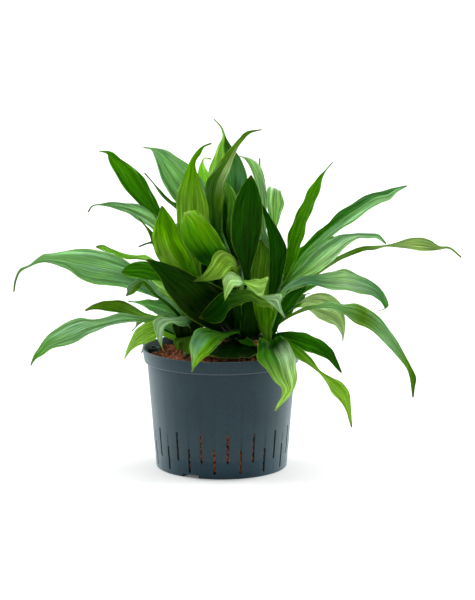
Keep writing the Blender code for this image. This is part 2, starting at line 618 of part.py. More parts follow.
def left_stem_leaves():
    """The left stem's leaves that show from the front. A line's points are x, z and depth."""
    return [
        Sheet("far left", "left", 150, [
            (-56, 159, -57, 168, -58, 176, 10, -2, 2), (-72, 165, -74, 177, -75, 187, 12, -4, 4),
            (-91, 171, -92, 186, -93, 199, 13, -5, 5), (-107, 173, -107, 190, -108, 205, 14, -5, 5),
            (-122, 175, -123, 193, -124, 208, 13, -5, 5), (-134, 180, -135, 195, -137, 208, 12, -4, 4),
            (-144, 188, -147, 198, -149, 206, 10, -3, 3), (-154, 192, -156, 199, -158, 204, 8, -2, 2),
            (-165, 195, -167, 199, -168, 203, 6, -1, 1), (-173, 194, -174, 196, -175, 198, 4, 0, 0),
            (-180, 191, -180, 192, -181, 193, 3, 0, 0), (-189, 186, -189, 187, -190, 189, 1, 0, 0),
            (-193, 178, -194, 179, -195, 179, -1, 0, 0)], (-196, 167, -2)),
        Sheet("low left", "left", 124, [
            (-60, 134, -60, 138, -60, 141, -20, -1, 1), (-77, 138, -78, 141, -79, 144, -26, -1, 1),
            (-94, 137, -94, 142, -95, 147, -30, -2, 2), (-107, 134, -108, 139, -109, 143, -32, -2, 2),
            (-117, 130, -120, 136, -122, 141, -34, -3, 3), (-126, 126, -130, 134, -134, 142, -35, -3, 3),
            (-137, 119, -142, 129, -147, 138, -36, -3, 3), (-149, 115, -153, 124, -157, 131, -37, -3, 3),
            (-161, 112, -164, 118, -167, 123, -37, -2, 2), (-169, 106, -171, 110, -174, 112, -38, 0, 0),
            (-176, 102, -177, 104, -178, 106, -38, 0, 0)], (-181, 96, -38)),
        Sheet("low left strip", "left", 122, [
            (-56, 136, -56, 140, -56, 142, -6, -1, 1), (-67, 140, -67, 143, -66, 145, -7, -1, 1),
            (-79, 142, -78, 146, -77, 149, -8, -2, 2), (-88, 145, -88, 151, -87, 156, -8, -3, 3),
            (-100, 147, -100, 153, -99, 159, -8, -3, 3), (-111, 149, -111, 154, -111, 158, -8, -2, 2),
            (-120, 150, -121, 153, -121, 155, -8, 0, 0)], (-129, 149, -8)),
        Sheet("upper left", "left", 168, [
            (-52, 220, -47, 222, -42, 224, 28, -1, 1), (-67, 244, -62, 244, -56, 244, 36, -1, 1),
            (-78, 251, -69, 252, -61, 254, 40, -2, 2), (-89, 263, -77, 263, -66, 264, 45, -3, 3),
            (-97, 275, -85, 276, -73, 276, 48, -3, 3), (-103, 286, -93, 287, -83, 286, 50, -3, 3),
            (-106, 294, -100, 294, -94, 293, 50, -2, 2), (-107, 298, -105, 299, -102, 300, 50, 0, 0)],
            (-115, 301, 50)),
        Sheet("low shade left", "left", 112, [
            (-44, 126, -33, 127, -22, 126, -17, 0, 0), (-46, 138, -33, 140, -18, 140, -16, 0, 0)],
            (-30, 153, -14)),
        Sheet("over rim left", "left", 118, [
            (-60, 125, -59, 129, -58, 132, -26, -1, 1), (-62, 121, -63, 131, -65, 140, -32, -3, 3),
            (-71, 118, -73, 127, -76, 135, -38, -4, 4), (-79, 115, -80, 122, -83, 128, -42, -3, 3),
            (-84, 112, -85, 116, -87, 119, -45, -2, 2), (-89, 106, -89, 109, -90, 111, -47, 0, 0)],
            (-92, 102, -48)),
        Sheet("small fold left", "left", 132, [
            (-32, 134, -30, 140, -28, 145, -22, -1, 1), (-39, 134, -38, 140, -37, 144, -28, -1, 1),
            (-48, 137, -47, 140, -47, 142, -33, -1, 1), (-54, 132, -55, 138, -57, 143, -37, -2, 2),
            (-55, 127, -59, 132, -65, 139, -41, -1, 1), (-56, 122, -59, 126, -64, 131, -43, 0, 0),
            (-56, 115, -58, 118, -60, 120, -44, 0, 0)], (-54, 109, -44)),
        Sheet("left upper strip", "left", 158, [
            (-67, 195, -69, 198, -70, 202, 22, -1, 1), (-79, 198, -80, 200, -81, 202, 26, -1, 1),
            (-89, 198, -90, 201, -92, 204, 29, -1, 1), (-102, 203, -103, 206, -103, 208, 31, -1, 1),
            (-111, 206, -111, 209, -111, 212, 32, -1, 1)], (-118, 210, 32)),
        Sheet("sheath left", "left", 119, [
            (-28, 124, -35, 123, -43, 121, -20, 0, 0), (-29, 113, -34, 113, -39, 112, -31, 0, 0)],
            (-31, 107, -38)),
        Sheet("narrow dark left", "left", 126, [
            (-42, 144, -41, 148, -40, 152, -22, 0, 1), (-53, 155, -51, 158, -49, 160, -26, 0, 1),
            (-63, 163, -61, 165, -59, 168, -28, 0, 2), (-70, 170, -67, 173, -65, 177, -30, 0, 3),
            (-75, 175, -73, 178, -72, 182, -32, 0, 2), (-77, 171, -80, 175, -82, 178, -36, 0, 2),
            (-80, 168, -84, 171, -89, 172, -39, 0, 2), (-83, 165, -86, 166, -89, 167, -40, 0, 0)],
            (-90, 163, -41)),
        Sheet("pale underside left", "left", 134, [
            (-48, 159, -45, 162, -42, 165, -18, 0, 0), (-61, 168, -57, 171, -52, 174, -22, 1, 1),
            (-68, 173, -64, 176, -58, 178, -25, 2, 2), (-71, 178, -67, 180, -63, 180, -27, 1, 1)],
            (-70, 182, -28), under=True),
        Sheet("folded front", "left", 160, [
            (-9, 186, -2, 189, 5, 193, -4, 1, 1), (-20, 195, -8, 201, 6, 204, -9, 2, 2),
            (-31, 206, -15, 213, 1, 214, -14, 3, 3), (-37, 217, -23, 225, -6, 226, -17, 4, 3),
            (-38, 227, -28, 235, -14, 236, -18, 4, 3), (-36, 237, -32, 240, -21, 242, -18, 2, 2),
            (-35, 243, -31, 244, -25, 245, -19, 0, 0)], (-33, 239, -24)),
        Sheet("yellow front", "left", 150, [
            (-35, 169, -28, 171, -21, 174, -6, 1, 1), (-50, 187, -38, 190, -24, 188, -6, 3, 3),
            (-61, 201, -48, 205, -28, 201, -4, 4, 4), (-65, 217, -53, 218, -37, 216, -2, 4, 4),
            (-63, 230, -56, 231, -44, 234, 0, 2, 3), (-59, 241, -56, 242, -51, 244, 2, 1, 1)],
            (-56, 249, 3)),
        Sheet("upright pale", "left", 176, [
            (-35, 196, -28, 196, -19, 196, 6, -1, -1), (-40, 217, -29, 217, -16, 217, 8, -2, -2),
            (-42, 238, -29, 238, -12, 238, 8, -3, -2), (-42, 254, -29, 254, -13, 252, 10, -3, -3),
            (-39, 268, -28, 269, -18, 266, 12, -3, -3), (-34, 280, -27, 281, -22, 278, 14, -2, -2),
            (-29, 292, -26, 292, -24, 290, 16, -1, -1), (-23, 301, -21, 300, -19, 298, 17, -1, -1),
            (-17, 306, -17, 305, -16, 304, 18, 0, 0)], (-9, 308, 18)),
        Leaf("low left back", "left", 128, 23, drawn([
            (-36, 140, 12), (-52, 147, 16), (-70, 153, 18), (-88, 156, 18)]), (0, -0.5, 1)),
        Leaf("curled tip left", "left", 172, 18, drawn([
            (-36, 204, 18), (-52, 223, 26), (-67, 235, 32), (-82, 243, 34), (-97, 247, 34),
            (-112, 248, 34), (-121, 247, 33), (-125, 241, 32)]), (0, -0.8, 0.9)),
        Leaf("sliver left", "left", 166, 9, drawn([
            (-46, 196, 8), (-60, 209, 10), (-67, 222, 12), (-74, 231, 12), (-77, 235, 12)]),
            (0.2, -1, 0.2)),
        Leaf("small tip left", "left", 156, 9, drawn([
            (-38, 192, 12), (-53, 209, 18), (-66, 212, 20), (-78, 208, 20)]), (0, -1, 0.5)),
        Leaf("inner dark left", "left", 118, 30, drawn([
            (-23, 138, 9), (-18, 163, 19), (-12, 190, 26), (-8, 214, 27)]), (0, -1, 0.2),
            neck=0.55, drip=1.0),
        Leaf("inner low left", "left", 112, 22, drawn([
            (-40, 122, 4), (-49, 129, 12), (-60, 132, 20)]), (0, -0.6, 1), drip=1.0),
        Leaf("sheath front left", "left", 110, 9, drawn([
            (-38, 118, -20), (-42, 117, -28), (-41, 108, -34)]), (0, -0.3, 1), blade=0.5,
            tip=(-0.5, -1, 0.3), drip=1.0),
    ]


def middle_stem_leaves():
    """The middle stem's leaves that show from the front."""
    return [
        Sheet("low shade", "middle", 112, [
            (30, 118, 16, 119, 2, 118, -5, 0, 0), (36, 112, 14, 113, -8, 113, -25, 0, 0),
            (34, 107, 12, 108, -14, 108, -45, 0, 0), (24, 104, 8, 105, -8, 105, -57, 0, 0)],
            (4, 103, -63)),
        Sheet("big dark left", "middle", 118, [
            (-10, 130, -4, 148, 6, 165, -14, -3, 4), (-31, 142, -20, 160, -8, 175, -24, -3, 5),
            (-45, 157, -33, 173, -23, 181, -31, -2, 5), (-53, 169, -45, 181, -35, 188, -35, -1, 4),
            (-58, 180, -54, 188, -48, 193, -37, 0, 3), (-65, 190, -62, 194, -58, 196, -38, 0, 2)],
            (-70, 198, -38)),
        Sheet("lobe left", "middle", 116, [
            (-7, 142, -3, 150, 2, 157, -8, 0, 2), (-28, 156, -24, 161, -19, 166, -18, 0, 2),
            (-46, 169, -42, 175, -37, 180, -28, 0, 2), (-58, 177, -58, 183, -55, 192, -32, -1, 5),
            (-71, 179, -73, 187, -71, 196, -34, -2, 7), (-83, 181, -84, 187, -82, 196, -36, -2, 7),
            (-91, 183, -92, 187, -89, 192, -37, -1, 3)], (-94, 186, -38)),
        Sheet("back left", "middle", 180, [
            (-31, 240, -19, 249, -9, 256, 40, -2, -2), (-44, 254, -31, 264, -17, 273, 48, -3, -3),
            (-54, 269, -42, 278, -29, 287, 54, -3, -3), (-59, 283, -51, 290, -41, 295, 58, -3, -3),
            (-63, 296, -59, 299, -52, 302, 60, -1, -1), (-66, 302, -65, 303, -64, 304, 60, 0, 0)],
            (-73, 304, 60)),
        Sheet("tallest", "middle", 190, [
            (-5, 241, 6, 241, 18, 241, 26, 1, -1), (-12, 263, 5, 263, 24, 263, 29, 2, -3),
            (-12, 282, 3, 281, 24, 279, 31, 2, -3), (-7, 295, 3, 294, 18, 294, 32, 2, -3),
            (-3, 306, 2, 305, 10, 305, 33, 1, -2), (1, 314, 3, 314, 5, 313, 34, 0, 0),
            (-1, 323, 0, 323, 1, 323, 34, 0, 0)], (-7, 331, 34)),
        Sheet("tall dark", "middle", 178, [
            (-7, 217, -2, 217, 2, 217, 14, 1, 0), (-12, 237, -5, 237, 1, 237, 14, 2, 0),
            (-15, 257, -6, 256, 2, 257, 14, 2, 0), (-14, 272, -4, 270, 4, 271, 13, 2, 1),
            (-6, 284, 1, 282, 8, 283, 12, 2, 1), (2, 295, 7, 293, 12, 294, 11, 1, 1),
            (9, 304, 13, 304, 16, 304, 10, 1, 1), (16, 312, 18, 311, 21, 311, 9, 0, 0),
            (23, 319, 25, 318, 27, 317, 8, 0, 0)], (38, 321, 8)),
        Sheet("dark centre", "middle", 154, [
            (21, 177, 23, 178, 26, 179, -3, 0, 0), (18, 194, 24, 195, 30, 196, -4, -1, -1),
            (10, 212, 24, 214, 35, 211, -6, -2, -2), (9, 234, 25, 234, 39, 236, -7, -3, -3),
            (12, 252, 26, 252, 38, 253, -8, -3, -3), (19, 267, 28, 267, 34, 267, -8, -2, -2)],
            (28, 278, -8)),
        Sheet("bent back pale", "middle", 180, [
            (38, 206, 41, 206, 45, 207, 24, 0, 0), (35, 228, 38, 228, 42, 229, 28, 1, 1),
            (35, 252, 39, 253, 43, 254, 34, 2, 2),
            (32, 270, 37, 272, 41, 273, 37, 2, 2), (27, 285, 32, 286, 37, 286, 38, 2, 2),
            (22, 293, 26, 294, 29, 293, 37, 1, 1)], (17, 296, 35), under=True),
        Sheet("blunt back right", "middle", 185, [
            (45, 228, 48, 228, 52, 229, 46, 0, 0), (44, 243, 50, 242, 56, 241, 50, -1, 0),
            (42, 254, 50, 253, 59, 250, 53, -2, -1), (43, 265, 51, 264, 57, 261, 55, -2, -1),
            (44, 267, 51, 265, 56, 262, 60, 0, 0)], (51, 255, 68)),
        Sheet("curl centre", "middle", 140, [
            (16, 180, 15, 188, 13, 196, -2, 0, 0), (11, 189, 11, 197, 7, 204, -13, 0, 2),
            (9, 188, 4, 200, -2, 207, -17, -1, 3), (8, 187, -1, 194, -7, 203, -20, -1, 3),
            (5, 184, -5, 189, -10, 195, -29, 0, 2), (2, 180, -10, 184, -15, 187, -33, 1, 1),
            (-8, 178, -15, 180, -18, 183, -34, 1, 1)], (-26, 177, -36)),
        Sheet("bud centre", "middle", 150, [
            (9, 175, 12, 176, 15, 176, -2, 0, 0), (10, 190, 14, 190, 17, 189, -8, 0, 1)],
            (18, 192, -9)),
        Sheet("pale tip centre", "middle", 146, [
            (21, 174, 20, 176, 19, 178, -18, 0, 0), (16, 172, 14, 178, 12, 185, -33, -1, 2),
            (12, 172, 9, 178, 6, 186, -38, -2, 3), (9, 168, 6, 174, 1, 179, -43, -1, 3),
            (6, 163, 4, 166, 2, 171, -46, 0, 2)], (3, 159, -48)),
        Sheet("arch to right", "middle", 148, [
            (20, 178, 21, 176, 22, 174, -14, 1, -1), (26, 178, 26, 175, 27, 170, -22, 3, -2),
            (33, 180, 33, 173, 32, 165, -29, 5, -3), (38, 179, 37, 172, 35, 163, -33, 6, -4),
            (43, 182, 41, 173, 39, 164, -36, 6, -3)], (43, 176, -37)),
        Sheet("flap right", "middle", 144, [
            (27, 173, 27, 170, 27, 168, -18, 0, 0), (39, 164, 39, 163, 38, 161, -34, 0, 0),
            (49, 164, 46, 160, 43, 158, -38, 3, -1), (57, 165, 53, 159, 48, 154, -41, 5, -1),
            (56, 156, 55, 153, 53, 149, -43, 2, 0), (58, 148, 57, 147, 56, 146, -44, 0, 0)],
            (60, 142, -45)),
        Sheet("over rim front", "middle", 114, [
            (17, 127, 16, 129, 15, 131, -8, 0, 0), (6, 124, 3, 127, 0, 128, -26, 0, 0),
            (-3, 116, -9, 123, -14, 132, -42, -2, 2), (-11, 107, -17, 115, -25, 130, -57, -2, 3),
            (-17, 103, -23, 107, -30, 117, -70, -1, 2), (-23, 97, -26, 100, -29, 105, -78, 0, 0),
            (-26, 93, -27, 93, -28, 93, -81, 0, 0)], (-28, 90, -82)),
        Leaf("thin back left", "middle", 170, 15, drawn([
            (-10, 214, 38), (-35, 241, 52), (-55, 257, 59), (-64, 269, 62), (-72, 278, 62)]),
            (0.7, -0.25, 0.7)),
        Leaf("spike behind", "middle", 184, 16, drawn([
            (31, 225, 44), (35, 255, 50), (36, 278, 52), (36, 292, 52)]), (0, -1, 0)),
        Leaf("thin arch behind", "middle", 186, 19, drawn([
            (-8, 230, 40), (-14, 255, 46), (-16, 272, 48), (-18, 285, 48), (-16, 292, 48),
            (-9, 291, 48)]), (0, -1, 0.2), peak=0.6),
        Leaf("bright between", "middle", 186, 13, drawn([
            (11, 222, 10), (12, 240, 10), (10, 256, 10), (5, 271, 10)]), (0, 1, 0.1),
            drip=1.0),
        Leaf("inner dark centre", "middle", 116, 30, drawn([
            (9, 138, 10), (3, 158, 5), (0, 178, 5), (-3, 199, 7)]), (0.2, 1, 0.1), drip=1.0),
        Leaf("inner low centre", "middle", 111, 28, drawn([
            (7, 125, 20), (-2, 134, 18), (-11, 139, 17), (-20, 142, 16)]), (0, -0.8, 0.7), drip=1.0,
            neck=0.6),
        Leaf("inner dark right", "middle", 110, 26, drawn([
            (27, 124, 8), (30, 140, 7), (31, 165, 9), (31, 190, 10)]), (0, 1, 0.1), drip=1.0,
            neck=0.68),
        Leaf("low front", "middle", 112, 13, drawn([
            (20, 119, -10), (28, 114, -24), (34, 112, -30)]), (0, -0.4, 1), drip=1.0),
    ]


def right_stem_leaves():
    """The right stem's leaves that show from the front."""
    return [
        Sheet("upper right", "right", 165, [
            (64, 194, 67, 190, 70, 186, 12, 2, -2), (74, 207, 77, 204, 80, 201, 18, 2, -2),
            (85, 220, 89, 216, 93, 211, 22, 3, -3), (98, 231, 103, 228, 108, 224, 25, 4, -4),
            (110, 243, 116, 238, 121, 232, 27, 4, -4), (127, 254, 132, 249, 137, 244, 28, 4, -4),
            (140, 261, 145, 257, 149, 252, 28, 4, -4), (154, 264, 157, 260, 159, 255, 28, 3, -3),
            (161, 266, 163, 264, 164, 261, 28, 1, -1)], (174, 268, 28)),
        Sheet("arched right", "right", 158, [
            (66, 182, 69, 180, 72, 177, 3, 1, -1), (76, 194, 81, 189, 86, 183, 1, 2, -3),
            (89, 208, 94, 200, 98, 191, 0, 3, -4), (103, 218, 107, 211, 110, 202, -2, 3, -4),
            (114, 222, 117, 218, 119, 212, -3, 3, -3), (125, 223, 127, 221, 129, 218, -4, 2, -2),
            (138, 223, 138, 221, 138, 218, -4, 1, -1), (148, 222, 147, 220, 146, 218, -4, 0, 0)],
            (155, 213, -4)),
        Sheet("far right", "right", 150, [
            (87, 187, 89, 185, 91, 183, 33, 0, 0), (104, 198, 107, 197, 110, 196, 37, 0, 0),
            (118, 205, 119, 203, 121, 201, 39, 0, 0), (131, 210, 133, 208, 135, 206, 40, 1, -1),
            (142, 211, 143, 209, 144, 207, 41, 1, -1), (155, 212, 155, 211, 155, 210, 42, 0, 0),
            (167, 215, 167, 212, 167, 209, 43, 1, -1), (176, 218, 177, 213, 177, 208, 44, 2, -2),
            (188, 219, 188, 213, 188, 206, 44, 2, -2), (197, 216, 198, 211, 199, 206, 44, 2, -2),
            (205, 211, 205, 209, 205, 207, 44, 0, 0), (215, 210, 215, 209, 214, 208, 44, 0, 0)],
            (226, 200, 44)),
        Sheet("hooked right", "right", 148, [
            (59, 171, 60, 169, 61, 167, -8, 1, -1), (69, 179, 72, 175, 74, 172, -10, 2, -2),
            (80, 183, 82, 179, 84, 174, -12, 3, -3), (93, 184, 93, 178, 93, 172, -14, 4, -4),
            (105, 187, 106, 178, 106, 169, -16, 5, -5), (117, 189, 119, 178, 121, 168, -17, 5, -6),
            (129, 184, 131, 175, 133, 165, -18, 5, -5), (140, 178, 142, 171, 143, 163, -18, 4, -4),
            (150, 171, 150, 165, 149, 159, -18, 2, -2), (156, 161, 154, 158, 152, 155, -19, 0, 0),
            (158, 153, 156, 152, 154, 151, -20, 0, 0)], (149, 149, -22)),
        Sheet("pale low right", "right", 138, [
            (65, 152, 65, 150, 66, 149, 14, 0, 0), (74, 158, 75, 155, 76, 152, 20, 1, -1),
            (84, 164, 84, 156, 84, 148, 24, 3, -3), (93, 166, 94, 154, 93, 141, 27, 4, -4),
            (104, 164, 103, 151, 101, 137, 29, 3, -4), (113, 155, 111, 145, 107, 135, 30, 2, -3),
            (117, 142, 115, 136, 112, 129, 30, 1, -1), (117, 130, 116, 127, 114, 124, 30, 0, 0)],
            (115, 119, 30), under=True),
        Sheet("long right", "right", 130, [
            (59, 142, 60, 141, 61, 140, -2, 0, 0), (80, 153, 80, 151, 81, 149, 0, 0, 0),
            (93, 155, 94, 153, 94, 151, 0, 0, 0), (103, 158, 104, 154, 105, 150, 0, 1, -1),
            (115, 155, 115, 151, 115, 146, 0, 2, -2), (128, 156, 128, 147, 127, 137, 0, 4, -4),
            (140, 150, 140, 141, 138, 132, 0, 3, -3), (152, 140, 150, 133, 148, 125, 0, 3, -3),
            (162, 127, 160, 121, 158, 114, 0, 2, -2), (171, 112, 170, 108, 168, 103, 0, 1, -1),
            (179, 97, 178, 95, 176, 92, 0, 0, 0), (185, 84, 182, 83, 179, 82, 0, 0, 0),
            (184, 76, 182, 75, 180, 75, 0, 0, 0)], (182, 65, 0)),
        Sheet("dark low right", "right", 116, [
            (54, 128, 55, 125, 56, 123, -8, 1, -1), (67, 129, 66, 124, 65, 118, -12, 3, -3),
            (78, 128, 77, 121, 75, 112, -15, 4, -4), (90, 123, 89, 116, 86, 108, -17, 4, -4),
            (100, 117, 98, 111, 95, 105, -18, 3, -3), (106, 110, 105, 105, 103, 100, -19, 2, -2),
            (110, 101, 109, 98, 107, 95, -19, 0, 0)], (114, 89, -19)),
        Sheet("lime twisted", "right", 114, [
            (59, 123, 57, 120, 55, 118, -32, 0, 0), (70, 116, 69, 113, 67, 109, -48, 1, -1),
            (80, 109, 77, 106, 73, 102, -55, 2, -2), (87, 101, 85, 99, 83, 96, -58, 1, -1),
            (94, 91, 93, 90, 93, 88, -60, 0, 0), (104, 85, 102, 82, 100, 79, -62, 0, 0),
            (114, 80, 110, 75, 105, 69, -63, 1, -1), (121, 71, 117, 67, 112, 62, -64, 1, -1),
            (123, 58, 120, 55, 118, 53, -64, 0, 0), (124, 45, 123, 44, 121, 43, -64, 0, 0)],
            (124, 36, -64)),
        Sheet("over rim right", "right", 113, [
            (52, 123, 45, 119, 38, 122, -20, 0, 0), (58, 124, 47, 115, 35, 121, -42, -2, -2),
            (66, 114, 51, 107, 34, 111, -64, 0, 0), (70, 104, 55, 100, 34, 102, -78, 1, 1),
            (71, 94, 58, 90, 42, 93, -86, 2, 2), (72, 84, 61, 81, 50, 81, -89, 3, 2),
            (70, 75, 64, 73, 57, 74, -90, 2, 1), (64, 65, 60, 66, 57, 66, -90, 1, 0),
            (56, 57, 55, 58, 53, 59, -89, 0, 0)], (51, 52, -88)),
        Sheet("arch to left", "right", 134, [
            (48, 153, 45, 156, 43, 159, -12, -1, 1), (40, 152, 37, 158, 34, 163, -18, -2, 2),
            (29, 158, 26, 163, 24, 169, -23, -2, 2), (18, 155, 16, 162, 16, 169, -28, -2, 3),
            (8, 150, 5, 159, 3, 168, -33, -2, 3), (1, 139, -3, 150, -8, 159, -38, -2, 3),
            (-7, 137, -11, 144, -15, 151, -42, -1, 3)], (-21, 142, -43)),
        Sheet("olive upright", "right", 116, [
            (40, 120, 43, 119, 47, 120, -12, 2, 2), (35, 134, 41, 132, 49, 133, -13, 3, 4),
            (31, 150, 40, 148, 52, 150, -10, 3, 4), (28, 169, 36, 168, 47, 170, -3, 3, 3),
            (28, 186, 36, 187, 49, 188, 4, 2, 2), (31, 201, 38, 203, 48, 202, 5, 1, 1)],
            (37, 217, 5)),
        Sheet("dark right", "right", 150, [
            (44, 159, 47, 161, 51, 163, -6, 0, 0), (45, 176, 51, 176, 56, 175, -6, -1, -1),
            (45, 192, 52, 192, 60, 192, -5, -2, -2), (45, 209, 53, 208, 62, 207, -4, -2, -2),
            (43, 225, 49, 225, 55, 224, -2, -1, -1), (40, 239, 43, 239, 46, 239, 0, 0, 0)],
            (37, 252, 2)),
        Sheet("short dark right", "right", 112, [
            (46, 125, 48, 125, 51, 126, -8, 0, 0), (52, 144, 55, 142, 58, 142, -13, 1, 1),
            (56, 157, 63, 155, 70, 155, -15, 2, 2), (63, 166, 69, 164, 75, 163, -16, 2, 2)],
            (80, 172, -16)),
        Leaf("upright right", "right", 160, 19, drawn([
            (63, 188, 12), (69, 212, 14), (78, 240, 14), (89, 265, 14), (96, 278, 14),
            (105, 289, 14)]), (-0.8, -0.8, 0.2)),
    ]


# Leaves on the side away from the front: stem, height on it, direction from +X towards +Y,
# length, the angle that the leaf rises at and how far it bends down along its length
BACK_LEAVES = [
    ("left", 120.0, 118.0, 120.0, 15.0, 70.0),
    ("left", 128.0, 142.0, 80.0, 24.0, 66.0),
    ("left", 136.0, 105.0, 140.0, 30.0, 60.0),
    ("left", 144.0, 128.0, 125.0, 38.0, 55.0),
    ("left", 152.0, 98.0, 150.0, 48.0, 50.0),
    ("left", 160.0, 120.0, 130.0, 55.0, 45.0),
    ("middle", 114.0, 88.0, 140.0, 14.0, 75.0),
    ("middle", 120.0, 69.0, 125.0, 20.0, 70.0),
    ("middle", 128.0, 112.0, 145.0, 24.0, 68.0),
    ("middle", 138.0, 75.0, 150.0, 32.0, 62.0),
    ("middle", 148.0, 128.0, 130.0, 38.0, 58.0),
    ("middle", 160.0, 96.0, 150.0, 46.0, 52.0),
    ("middle", 170.0, 72.0, 115.0, 52.0, 50.0),
    ("middle", 182.0, 110.0, 120.0, 62.0, 45.0),
    ("right", 126.0, 48.0, 70.0, 45.0, 40.0),
    ("right", 134.0, 74.0, 120.0, 32.0, 58.0),
    ("right", 142.0, 40.0, 110.0, 36.0, 55.0),
    ("right", 150.0, 84.0, 130.0, 34.0, 52.0),
    ("right", 158.0, 48.0, 120.0, 46.0, 48.0),
]


def arched_line(stem, height, direction, length, lift, droop):
    """Points of a leaf that leaves its stem at lift degrees and bends down by droop degrees."""
    turn = math.radians(direction)
    point = stem_point(stem, height)
    points = []
    for step in range(BACK_POINTS):
        angle = math.radians(lift - droop * (step / (BACK_POINTS - 1)) ** BEND_POWER)
        run = length / BACK_POINTS
        point = point + run * np.array((math.cos(turn) * math.cos(angle),
                                        math.sin(turn) * math.cos(angle), math.sin(angle)))
        points.append(point)
    return points


def back_leaves():
    """The leaves on the side away from the front, with their widths and waves drawn at random."""
    draw = random.Random(BACK_SEED)
    leaves = []
    for k, (stem, height, direction, length, lift, droop) in enumerate(BACK_LEAVES):
        turn = math.radians(direction)
        out = np.array((math.cos(turn), math.sin(turn), 0.0))
        up = np.array((0.0, 0.0, 1.0))
        line = arched_line(stem, height, direction, length, lift, droop)
        leaves.append(Leaf(
            "%s back %d" % (stem, k), stem, height, draw.uniform(*BACK_WIDTHS), line,
            up - 0.4 * out, tip=0.5 * up + out,
            wave=(BACK_WAVE, draw.uniform(*BACK_WAVES), draw.random())))
    return leaves


def all_leaves():
    return left_stem_leaves() + middle_stem_leaves() + right_stem_leaves() + back_leaves()


def make_stems(finish):
    """Each stem and its leaves, joined into one solid."""
    leaves = all_leaves()
    for stem in STEMS:
        plant = stem_solid(stem, 0.0)
        plant.name = "stem_" + stem
        blades = [leaf_solid(leaf) for leaf in leaves if leaf.stem == stem]
        boolean_all(plant, blades, "UNION", "MANIFOLD")
        keep_outer_shell(plant)
        plant.data.materials.clear()
        plant.data.materials.append(finish)
        soften(plant)


def clear_scene():
    for item in list(bpy.data.objects):
        bpy.data.objects.remove(item)


def main():
    clear_scene()
    plastic = material("slate plastic", (0.085, 0.125, 0.165), 0.55)
    clay = material("clay granules", (0.24, 0.095, 0.05), 0.9)
    green = material("leaf green", (0.09, 0.25, 0.03), 0.4)
    make_pot(plastic)
    make_substrate(clay)
    make_stems(green)


main()
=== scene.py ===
"""The looks of a potted dracaena: three leafy stems in clay granules, in a slotted culture pot.

Lengths are in millimetres and angles in degrees; MM turns them into metres where a mesh is made.
The sizes and the leaves' lines are those of the model in model.glb.
"""

import math
import random

import bmesh
import bpy
import numpy as np
from mathutils import Matrix, Vector


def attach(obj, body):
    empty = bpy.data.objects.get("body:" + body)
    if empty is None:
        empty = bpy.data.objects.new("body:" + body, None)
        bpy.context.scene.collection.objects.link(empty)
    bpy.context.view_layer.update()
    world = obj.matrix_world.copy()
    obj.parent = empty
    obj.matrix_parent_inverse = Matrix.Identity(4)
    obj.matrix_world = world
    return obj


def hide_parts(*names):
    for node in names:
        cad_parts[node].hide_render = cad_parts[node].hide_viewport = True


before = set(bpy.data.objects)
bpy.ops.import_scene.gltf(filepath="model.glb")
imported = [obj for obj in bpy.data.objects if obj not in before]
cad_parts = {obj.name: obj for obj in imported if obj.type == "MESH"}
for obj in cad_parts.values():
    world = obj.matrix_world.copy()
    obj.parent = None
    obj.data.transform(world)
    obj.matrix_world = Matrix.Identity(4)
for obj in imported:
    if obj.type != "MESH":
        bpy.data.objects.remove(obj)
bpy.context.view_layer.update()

# Metres in a millimetre, the gap between nodes that touch, and that of points that become one
MM = 0.001
CLEAR = 0.3
MERGE = 0.001

# Pot: its section, the sides of its turned wall and of a round corner, and the least angle of
# an edge that stays sharp
POT_HEIGHT = 114.0
RIM_RADIUS = 75.0
COLLAR_FOOT_RADIUS = 73.2
COLLAR_HEIGHT = 12.5
UNDER_COLLAR = POT_HEIGHT - COLLAR_HEIGHT
WALL_TOP_RADIUS = 70.4
BASE_RADIUS = 62.2
WALL_SLOPE = (WALL_TOP_RADIUS - BASE_RADIUS) / UNDER_COLLAR
BASE_ROUNDING = 1.2
RIM_ROUNDING = 0.6
BAND_HEIGHT = 16.5
BAND_STEP = 0.3
WALL = 2.0
FLOOR = 2.0
POT_SIDES = 240
ARC_SIDES = 4
POT_SHARP = 30.0

# Slots in the pot's wall: an upper and a lower row, half a pitch apart
SLOT_COUNT = 16
SLOT_PITCH = 360.0 / SLOT_COUNT
FIRST_UPPER_SLOT = 5.6
SLOT_WIDTH = 2.4
UPPER_SLOT = (15.0, 43.0)
LOWER_SLOT = (4.4, 28.0)
SLOT_END_SIDES = 8

# Shallow moulded grooves that run on from the slots
GROOVE_WIDTH = 1.5
GROOVE_DEPTH = 0.25
GROOVE_OVER_LOWER = (29.5, 38.0)
GROOVE_UNDER_UPPER = (6.0, 13.5)

# Drainage recesses under the foot, with the floor raised over each
RECESS_COUNT = 3
FIRST_RECESS = -28.0
RECESS_SPREAD = 16.0
RECESS_HEIGHT = 3.0
RECESS_INNER_RADIUS = 44.0
RECESS_SIDES = 12

# Half tube on the inner wall that takes a water gauge
GUIDE_DIRECTION = 256.0
GUIDE_RADIUS = 6.6
GUIDE_WALL = 1.5
GUIDE_SINK = 1.0
GUIDE_TOP = 110.5
GUIDE_BOTTOM = 78.0
GUIDE_SIDES = 24

# Clay granules: the mean height of their surface, its short waves and its wide drift
SOIL_HEIGHT = 107.6
SWELL = 1.3
SWELL_SPACING = 9.0
SWELL_START = 0.6
SWELL_SHARE = 0.35
DRIFT_SPACING = (17.0, 21.0)
DRIFT_START = (1.3, -0.4)
DRIFT_SHARE = 0.5

# Packed core behind the loose stones, which widens to the wall over the heights of CORE_STEP
CORE_DROP = 3.0
CORE_INSET = 5.0
CORE_STEP = (60.0, 66.0)
CORE_SIDES = 72
CORE_RINGS = 12

